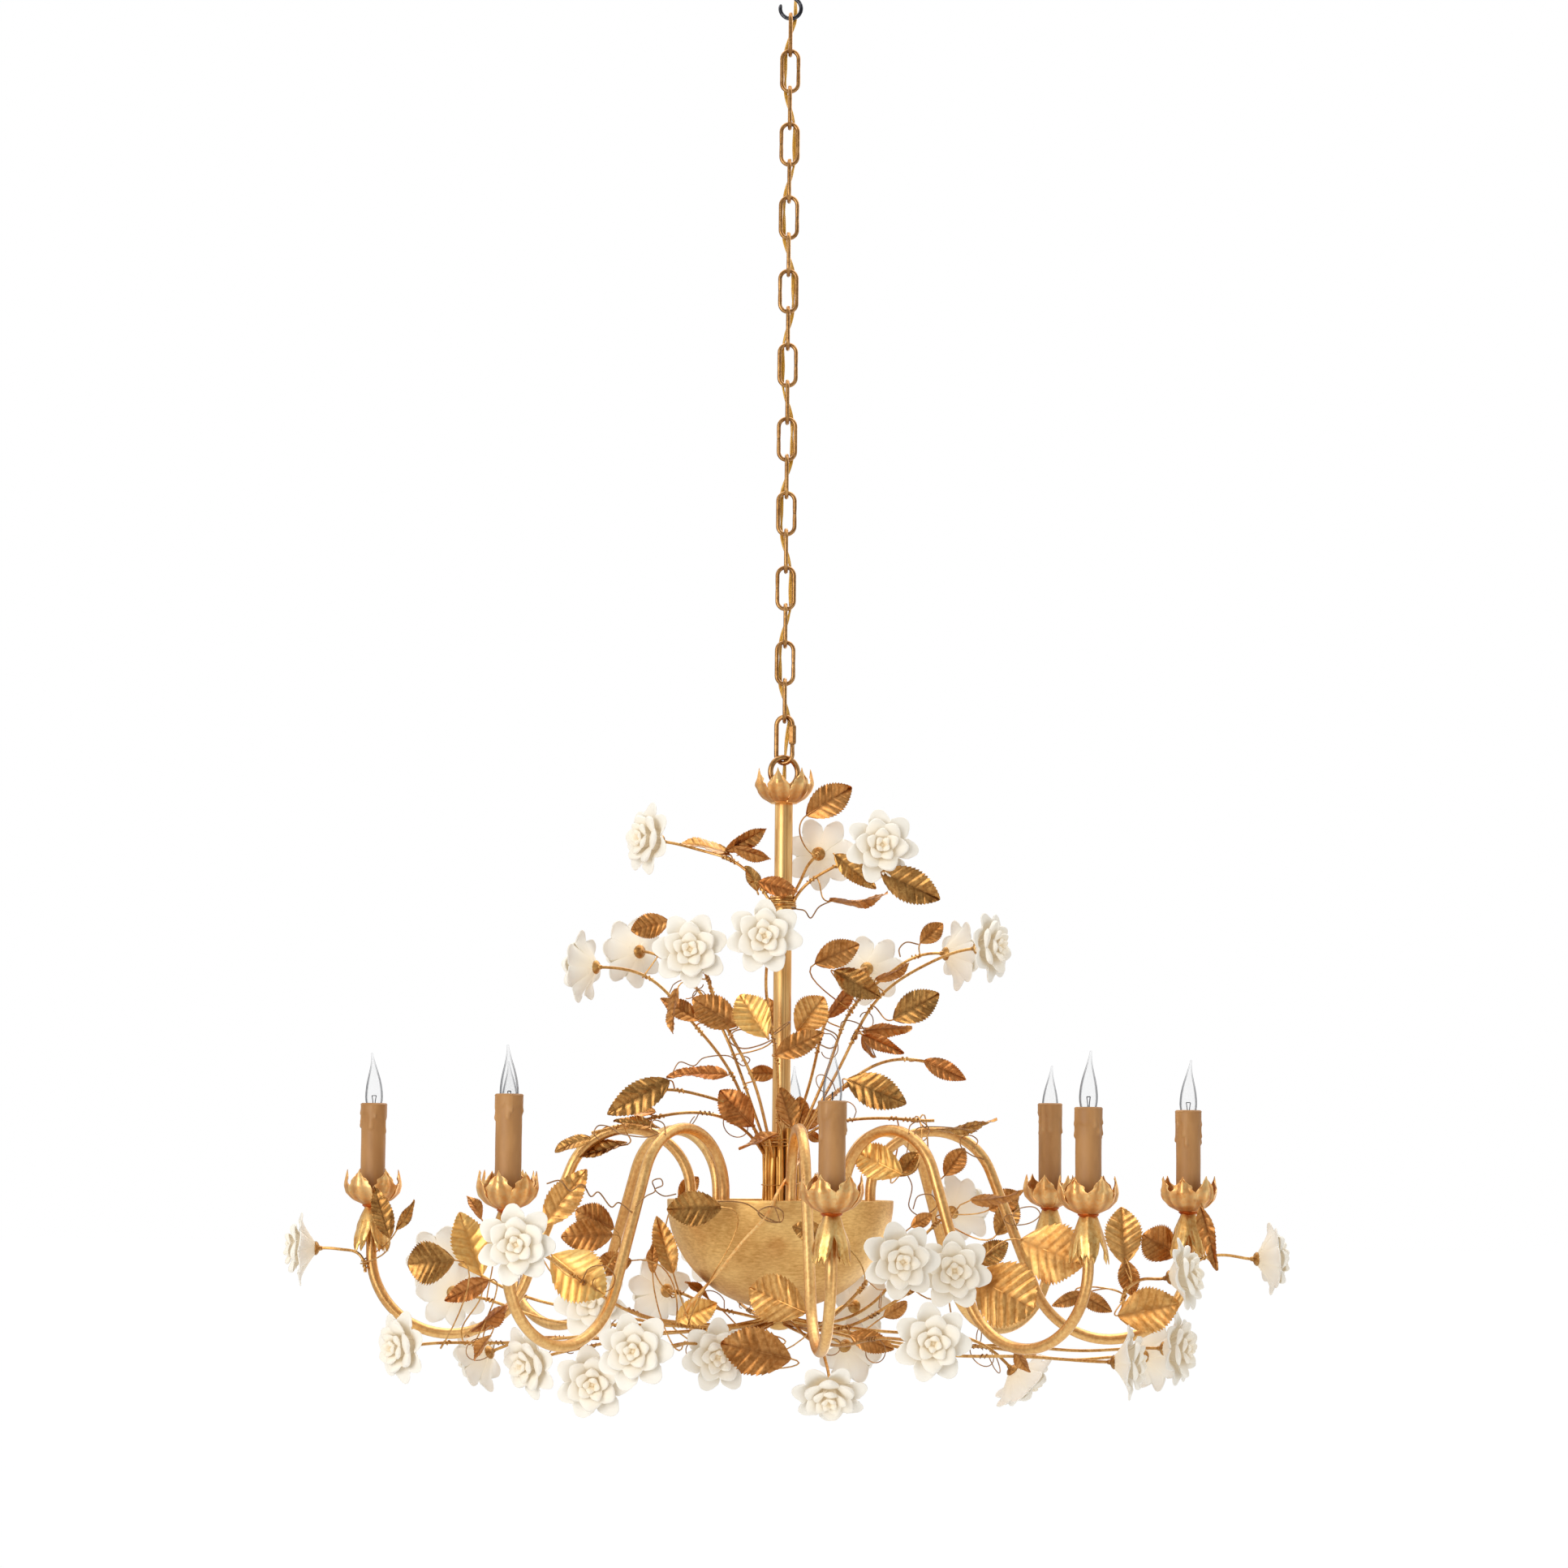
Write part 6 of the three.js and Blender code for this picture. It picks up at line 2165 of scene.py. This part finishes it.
LOW_FOOT = -119.0
LOW = (
    ("left", 164, (
        (-94.4, 3, 13.5, 186, 0, -81, -1, 9), (-66, 24, 4.5, 100, 0), (-69.5, 34, 10.5, 110, 0),
        (-60, 14, -8, 150, -20),
    ), (
        (-74.6, -6, 17.2, -71.2, -6, 23.2, 40, D, 0.34), (-58.5, 0, 19.5, -61.5, 0, 24, 50),
        (-75.6, -9, 15.7, -78.8, -9, 25.8, 10, D, 0.36), (-60, -5, -2, -53, -5, 3.5, 60, R),
    )),
    ("left_front", 205, (
        (-73, -12, -5, 222, -5), (-48.5, -8, -8, 225, -15), (-36, -20, 4.5, 262, 0),
    ), (
        (-62, -20, 12, -71, -20, 11, 0, D, 0.92), (-57.5, -12, 8.7, -62, -12, 20.9, 10, P, 0.56),
        (-56, -12, 8, -64.5, -12, 4, 0, R, 0.44), (-55.5, -12, -2.5, -58.5, -12, -7.5, 60),
        (-32, -12, 18, -39.5, -12, 21.5, 0, B, 0.72), (-32, -16, 17, -42, -16, 16.5, 0, B, 0.6),
        (-35.5, -12, 10.5, -30, -12, 13),
    )),
    ("front", 240, (
        (-47, -72, 16, 268, 0), (-34.5, -40, -10, 268, -10), (-26.5, -52, -3.5, 262, 0),
        (-11.5, -24, -5.5, 270, -10),
    ), (
        (-44.5, -30, 19, -36.5, -31.3, 29.5, 0, G, 0.42),
        (-42.5, -40, 13.6, -32.4, -43.8, 6.4, 0, P, 0.8),
        (-20.5, -12, 9.5, -24, -9.8, 20.5, 0, G, 0.36),
        (-24.5, -12, 9.5, -24.5, -12, 15.5, 0, B, 0.34),
        (-28.5, -12, 12, -36, -12, 10.5, 0, B, 0.6), (-20, -12, 0.5, -12, -14.1, 4, 0, P),
        (5, -30, 2.9, -5.7, -26.2, 7.5, 0, G, 0.78), (2.4, -30, -5.7, -11, -30, -2.9, 0, B, 0.64),
        (0.5, -22, -3.5, -11, -22, -7), (-11, -26, 22.5, -21.5, -26, 22, 0, D),
        (-13.5, -3, 4.2, -18.5, -3, 7.7, 70),
    )),
    ("front_right", 292, (
        (9.5, -30, -12.5, 270, -42), (22, -60, 13.5, 278, -8), (32, -49, 11.5, 272, 0),
        (27.5, -65, -1, 273, -3),
    ), (
        (45, -36, 17, 56.5, -40, 12.5, 0, G, 0.82), (35.5, -44, 10.5, 47, -48.1, 4.5, 0, G, 0.85),
        (37.5, -12, 12, 44, -12, 16, 0, D), (8.8, -32, 17.2, 2.3, -32, 19.1, 0, D, 0.55),
        (25, -20, 19, 29, -20, 21.5), (13.4, -20, -1.4, 21.9, -20, -4.2, 0, B, 0.5),
        (20.1, -10, 1.6, 24.6, -10, 4.5, 30),
    )),
    ("right_front", 338, (
        (47, -12, -10.5, 20, -45), (66.5, -26, -6, 350, 0), (77, -25, 10.5, 340, 10, 66, -14, 4),
        (77, -12, -4, 335, 0),
    ), (
        (64.5, -20, 2.5, 76, -23.2, 5, 0, G, 0.66), (66.5, -12, 12, 66, -10.7, 23, 0, G, 0.6),
        (66.5, -12, 13, 68, -12, 6, 0, B, 0.6), (57.5, -12, 6.5, 64, -12, 3, 0, B, 0.42),
        (59, -12, 6.5, 52.5, -12, 4, 0, B, 0.42), (44.5, -26, -3.5, 47.5, -26, -8, 50),
        (36.5, -16, 24.2, 46.7, -16, 25.9, 60, B, 0.4),
    )),
    ("right", 22, (
        (96.8, 3, 13, 8, 0, 81, -1, 10), (74.5, 12, -6.5, 40, 0), (36.5, 22, 22.5, 50, 20),
        (16.5, 20, 2, 60, -10),
    ), (
        (78.5, 5, 13.5, 71.5, 5, 17.5, 0, B, 0.85), (43, 12, 17, 47, 12, 24, 0, D),
        (41.5, 12, 22, 47.5, 12, 25.5), (82.1, -6, 23.4, 85.3, -6, 11, 30, B, 0.26),
    )),
    ("back", 96, (
        (-24, 16, 5.5, 120, 0), (14.5, 12, -6, 60, -20), (-13.5, 58, 12, 95, 5),
        (12.5, 58, 11, 85, 0),
    ), (
        (-25, 10, 10, -25.5, 10, 14), (-20.5, 20, 24, -16.5, 20, 28),
        (-10, 44, 12, -18, 46, 18, 180, G), (10, 44, 10, 19, 46, 15, 180),
    )),
)


# ---- finishes of this object


def paint_all() -> dict[Finish, bpy.types.Material]:
    """Mixes every finish.

    Returns:
        The material of each.
    """
    gilts = (
        Gilt(Finish.CHAIN, srgb(204, 156, 98), srgb(150, 104, 58), srgb(104, 64, 32),
             cloud=30, roughness=0.32, relief=0.12),
        Gilt(Finish.STEM, srgb(255, 219, 152), srgb(224, 168, 98), srgb(154, 96, 46),
             grain=(1, 1, 0.035), marks=330, cloud=14, wear=0.25, roughness=0.36),
        Gilt(Finish.BOWL, srgb(254, 215, 142), srgb(216, 165, 95), srgb(146, 93, 44),
             grain=(0.4, 0.4, 1.4), marks=420, cloud=18, roughness=0.44),
        Gilt(Finish.ARM, srgb(248, 206, 136), srgb(214, 158, 95), srgb(147, 94, 48),
             cloud=9, wear=0.25, relief=0.12),
        Gilt(Finish.CUP, srgb(255, 226, 160), srgb(246, 178, 102), srgb(150, 82, 34),
             marks=360, cloud=70, wear=0.25, roughness=0.38, relief=0.2),
        Gilt(Finish.CALYX, srgb(255, 222, 150), srgb(220, 164, 88), srgb(138, 80, 32),
             marks=360, cloud=50, wear=0.35, roughness=0.28),
        Gilt(Finish.BOLE, srgb(226, 130, 54), srgb(178, 80, 26), srgb(110, 40, 14),
             cloud=70, roughness=0.4),
        Gilt(Finish.BUNDLE, srgb(252, 208, 124), srgb(222, 162, 82), srgb(138, 80, 30),
             grain=(1, 1, 0.08), marks=420, cloud=40, wear=0.4, roughness=0.36),
        Gilt(Finish.WIRE, srgb(232, 188, 118), srgb(184, 128, 66), srgb(104, 62, 30),
             marks=420, cloud=34, wear=0.45),
        Gilt(Finish.TENDRIL, srgb(190, 146, 98), srgb(146, 104, 66), srgb(86, 60, 40),
             marks=420, cloud=44, wear=0.4, roughness=0.38),
        Gilt(Finish.LEAF_PALE, srgb(255, 216, 138), srgb(240, 180, 96), srgb(164, 100, 42),
             wear=0.2, relief=0.2),
        Gilt(Finish.LEAF_GOLD, srgb(244, 196, 124), srgb(206, 144, 74), srgb(134, 80, 32),
             relief=0.2),
        Gilt(Finish.LEAF_BROWN, srgb(220, 162, 98), srgb(174, 112, 54), srgb(112, 64, 28),
             wear=0.35, roughness=0.36, relief=0.2),
        Gilt(Finish.LEAF_RED, srgb(220, 154, 92), srgb(176, 106, 52), srgb(112, 60, 26),
             wear=0.4, roughness=0.38, relief=0.2),
        Gilt(Finish.LEAF_DARK, srgb(214, 164, 96), srgb(154, 104, 52), srgb(96, 60, 28),
             wear=0.25, roughness=0.28, relief=0.15),
        Gilt(Finish.BRASS, srgb(232, 196, 120), srgb(196, 150, 80), srgb(120, 84, 40),
             marks=600, cloud=80, wear=0.15, roughness=0.25),
    )
    steels = (
        Steel(Finish.HOOK, srgb(52, 52, 56), srgb(120, 120, 124)),
        # painted shadow: dark colours for the rod that fills each link's seam gap
        Steel(Finish.SEAM_SHADOW, srgb(36, 26, 18), srgb(60, 44, 30), 0.6),
        Steel(Finish.FILAMENT, srgb(60, 60, 62), srgb(110, 110, 112), 0.4),
    )
    others = (Porcelain(), Wax(), Glass(), Sheath())
    return {each.name: each.paint() for each in (*gilts, *steels, *others)}


# ---- studio


@dataclass(frozen=True)
class Studio:
    """A pale room, soft lamps and a camera a long way in front."""

    distance: float = 4.0
    camera_above_rim: float = 0.034
    pitch: float = 5.36
    lens: float = 93.2
    roll: float = 0.5
    floor_drop: float = 1.6
    floor_reach: float = 90.0
    floor_glow: float = 1.04  # what the eye sees of it, a little over white
    floor_cover: float = 0.92  # how far that hides its own shading
    sky: float = 0.6

    def build(self, floor: float) -> None:
        """Sets up the room.

        Args:
            floor: The height of the object's lowest point.
        """
        self._add_camera()
        self._light_world()
        self._add_floor(floor - self.floor_drop)
        self._add_lamp("key", (-1.9, -2.6, 0.5), 2.2, 50)
        self._add_lamp("fill", (2.6, -2.2, -0.8), 2.4, 12)
        self._add_lamp("top", (0.2, 0.6, 1.4), 2.0, 22)
        self._add_lamp("back", (1.2, 2.6, -0.4), 2.0, 16)
        bpy.context.scene.view_settings.view_transform = "Standard"

    def _add_camera(self) -> None:
        """Sets the camera level with the rim, looking up a little."""
        data = bpy.data.cameras.new("camera")
        data.lens = self.lens
        camera = bpy.data.objects.new("camera", data)
        camera.location = (0, -self.distance, LEVELS.rim * MM + self.camera_above_rim)
        level = Matrix.Rotation(math.radians(90 + self.pitch), 4, "X")
        camera.rotation_euler = (level @ turned(self.roll)).to_euler()
        bpy.context.scene.collection.objects.link(camera)
        bpy.context.scene.camera = camera

    def _add_lamp(
        self, name: str, place: tuple[float, float, float], size: float, power: float
    ) -> None:
        """A square soft lamp that faces the fixture.

        Args:
            name: Of the lamp.
            place: Where it stands, from the middle of the fixture.
            size: The length of its side.
            power: In watts.
        """
        data = bpy.data.lights.new(name, "AREA")
        data.size = size
        data.energy = power
        lamp = bpy.data.objects.new(name, data)
        middle = Vector((0, 0, LEVELS.rim * MM + 0.1))
        lamp.location = middle + Vector(place)
        lamp.rotation_euler = (-Vector(place)).to_track_quat("-Z", "Y").to_euler()
        bpy.context.scene.collection.objects.link(lamp)

    def _light_world(self) -> None:
        """White to the eye and round the object's back and sides, dimmer behind the camera."""
        world = bpy.data.worlds.new("room")
        world.use_nodes = True
        bpy.context.scene.world = world
        graph = Graph(world.node_tree)
        direct = graph.node("ShaderNodeLightPath", output="Is Camera Ray")
        through = graph.node("ShaderNodeLightPath", output="Is Transmission Ray")
        mirrored = graph.node("ShaderNodeLightPath", output="Is Glossy Ray")
        where = graph.node("ShaderNodeTexCoord", output="Generated")
        apart = graph.node("ShaderNodeSeparateXYZ", {}, {0: where}, "Y")
        height = graph.node("ShaderNodeSeparateXYZ", {}, {0: where}, "Z")
        behind = apart.between(-0.75, 0.35)
        bands = height.between(-0.1, 0.5) * 0.5 + height.between(-0.2, -0.7) * 0.25
        dark = 1 - apart.between(0.5, 0.95) * 0.55
        mirror = ((behind * 0.8 + bands) * dark + 0.07).clamped()
        level = mirrored * mirror + (1 - mirrored) * self.sky
        seen = (direct + through).clamped()
        beyond = direct + through * (0.1 + 0.9 * apart.between(0.6, 0.9))
        strength = seen * beyond.clamped() + (1 - seen) * level
        graph.feed(world.node_tree.nodes["Background"], {"Color": (1, 1, 1), "Strength": strength})

    def _add_floor(self, height: float) -> None:
        """A pale floor under the object, which still takes its shadow.

        Args:
            height: Where it lies.
        """
        shape = Shape()
        square = np.array([(-1, -1, 0), (1, -1, 0), (1, 1, 0), (-1, 1, 0)])
        corners = (square * self.floor_reach + (0, 0, height)) / MM
        shape.add(corners, [(0, 1, 2, 3)], Finish.PORCELAIN)
        paint = Paint("floor_paint")
        clouds = paint.noise(paint.place(), 2, 2)
        colour = paint.blend(clouds, srgb(250, 250, 250), srgb(255, 255, 255))
        material = paint.finish(Base_Color=colour, Roughness=0.9)
        seen = paint.node("ShaderNodeLightPath", output="Is Camera Ray")
        glow = {"Color": (1, 1, 1), "Strength": self.floor_glow}
        white = paint.node("ShaderNodeEmission", {}, glow)
        shaded = Value(paint, paint.surface.outputs[0])
        share = seen * self.floor_cover
        mixed = paint.node("ShaderNodeMixShader", {}, {0: share, 1: shaded, 2: white})
        output = paint.tree.nodes["Material Output"]
        paint.tree.links.new(mixed.socket, output.inputs["Surface"])
        floor = shape.build("floor", {Finish.PORCELAIN: material})
        floor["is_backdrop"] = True


# ---- assembly


@dataclass(frozen=True)
class Chandelier:
    """The whole object: its pieces, what each replaces and the body that each rides on."""

    paints: dict[Finish, bpy.types.Material]

    def place(
        self, shape: Shape, name: str, body: str, slot: str, nodes: Sequence[str] = ()
    ) -> None:
        """Makes a piece that stands for CAD nodes and rides on a body.

        Args:
            shape: Its mesh.
            name: Of the piece.
            body: What it moves with.
            slot: The record's material slot. It is not used.
            nodes: The nodes it stands for, or its own name's if none are given.
        """
        piece = shape.build(name, self.paints)
        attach(piece, body)
        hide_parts(*(nodes or (name.removesuffix("_look"),)))
        log.info("%s: %d points", name, shape.count)

    def build(self) -> None:
        """Builds every sub-assembly, from the ceiling down."""
        self._build_suspension()
        self._build_frame()
        self._build_arms()
        self._build_sprays()

    def _build_suspension(self) -> None:
        """The hook, the chain, the quick link and the cord, whose first length rides on no body."""
        self.place(Hook().build(), "ceiling_hook_look", "ceiling", "dark_steel")
        link = ChainLink()
        for number in range(1, LEVELS.link_count + 1):
            name = f"chain_link_{number:02d}_look"
            self.place(link.build(number), name, f"link_{number:02d}", "bronzed_steel")
        quick = QuickLink()
        self.place(quick.build(), "quick_link_look", "quick_link", "bronzed_steel")
        self.place(quick.build_nut(), "quick_link_nut_look", "quick_nut", "bronzed_steel")
        cord = SupplyCord()
        for number, (shape, body) in enumerate(cord.build()):
            name = f"supply_cord_{number:02d}"
            if number:
                self.place(shape, name, body, "cord", ["supply_cord"])
                continue
            piece = shape.build(name, self.paints)
            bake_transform(piece)
            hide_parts("supply_cord")
            log.info("%s: %d points", name, shape.count)

    def _build_frame(self) -> None:
        """The loop, the top cup, the stem and the bowl."""
        hanger = Hanger()
        self.place(hanger.build(), "hanging_loop_look", "fixture", "bronzed_steel")
        self.place(hanger.build_cup(), "top_cup_look", "fixture", "gilt")
        self.place(Stem().build(), "stem_tube_look", "fixture", "gilt")
        self.place(Bowl().build(), "bowl_look", "fixture", "gilt")

    def _build_arms(self) -> None:
        """The eight arms with their sleeves and lamps."""
        arm, candle = Arm(), Candle()
        for number in range(1, len(BEARINGS) + 1):
            self.place(arm.build(number), f"arm_{number}_look", "fixture", "gilt")
            sleeve = candle.build_sleeve(number)
            self.place(sleeve, f"candle_sleeve_{number}_look", f"sleeve_{number}", "wax")
            lamp = candle.build_lamp(number)
            self.place(lamp, f"bulb_{number}_look", f"bulb_{number}", "lamp_glass")

    def _build_sprays(self) -> None:
        """The crown and middle sprays on the stem, and seven under the bowl."""
        crown = BoundSpray("crown_spray", CROWN, height=12, rise=62)
        crown.build()
        crown.add_binding()
        self.place(crown.shape, "crown_spray_look", "fixture", "porcelain")
        middle = BoundSpray("middle_spray", MIDDLE, height=22, rise=68)
        middle.build()
        Bundle().add(middle.shape)
        self.place(middle.shape, "middle_spray_look", "fixture", "porcelain")
        for name, bearing, blossoms, leaves in LOW:
            growth = Growth(LOW_FOOT, blossoms, leaves)
            spray = LowSpray(f"low_spray_{name}", growth, bearing=bearing)
            self.place(spray.build(), f"low_spray_{name}_look", "fixture", "porcelain")


def corners() -> list[list[float]]:
    """The box round everything shown, as plain lists."""
    return [list(corner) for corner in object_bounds()]


def main() -> None:
    """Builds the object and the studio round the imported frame."""
    logging.basicConfig(level=logging.INFO, format="%(name)s: %(message)s")
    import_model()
    size = {"cad": corners()}
    Studio().build(size["cad"][0][2])
    Chandelier(paint_all()).build()
    bpy.context.view_layer.update()
    size["visual"] = corners()
    log.info("box of the frame %s, of the looks %s", size["cad"], size["visual"])


if __name__ == "__main__":
    main()
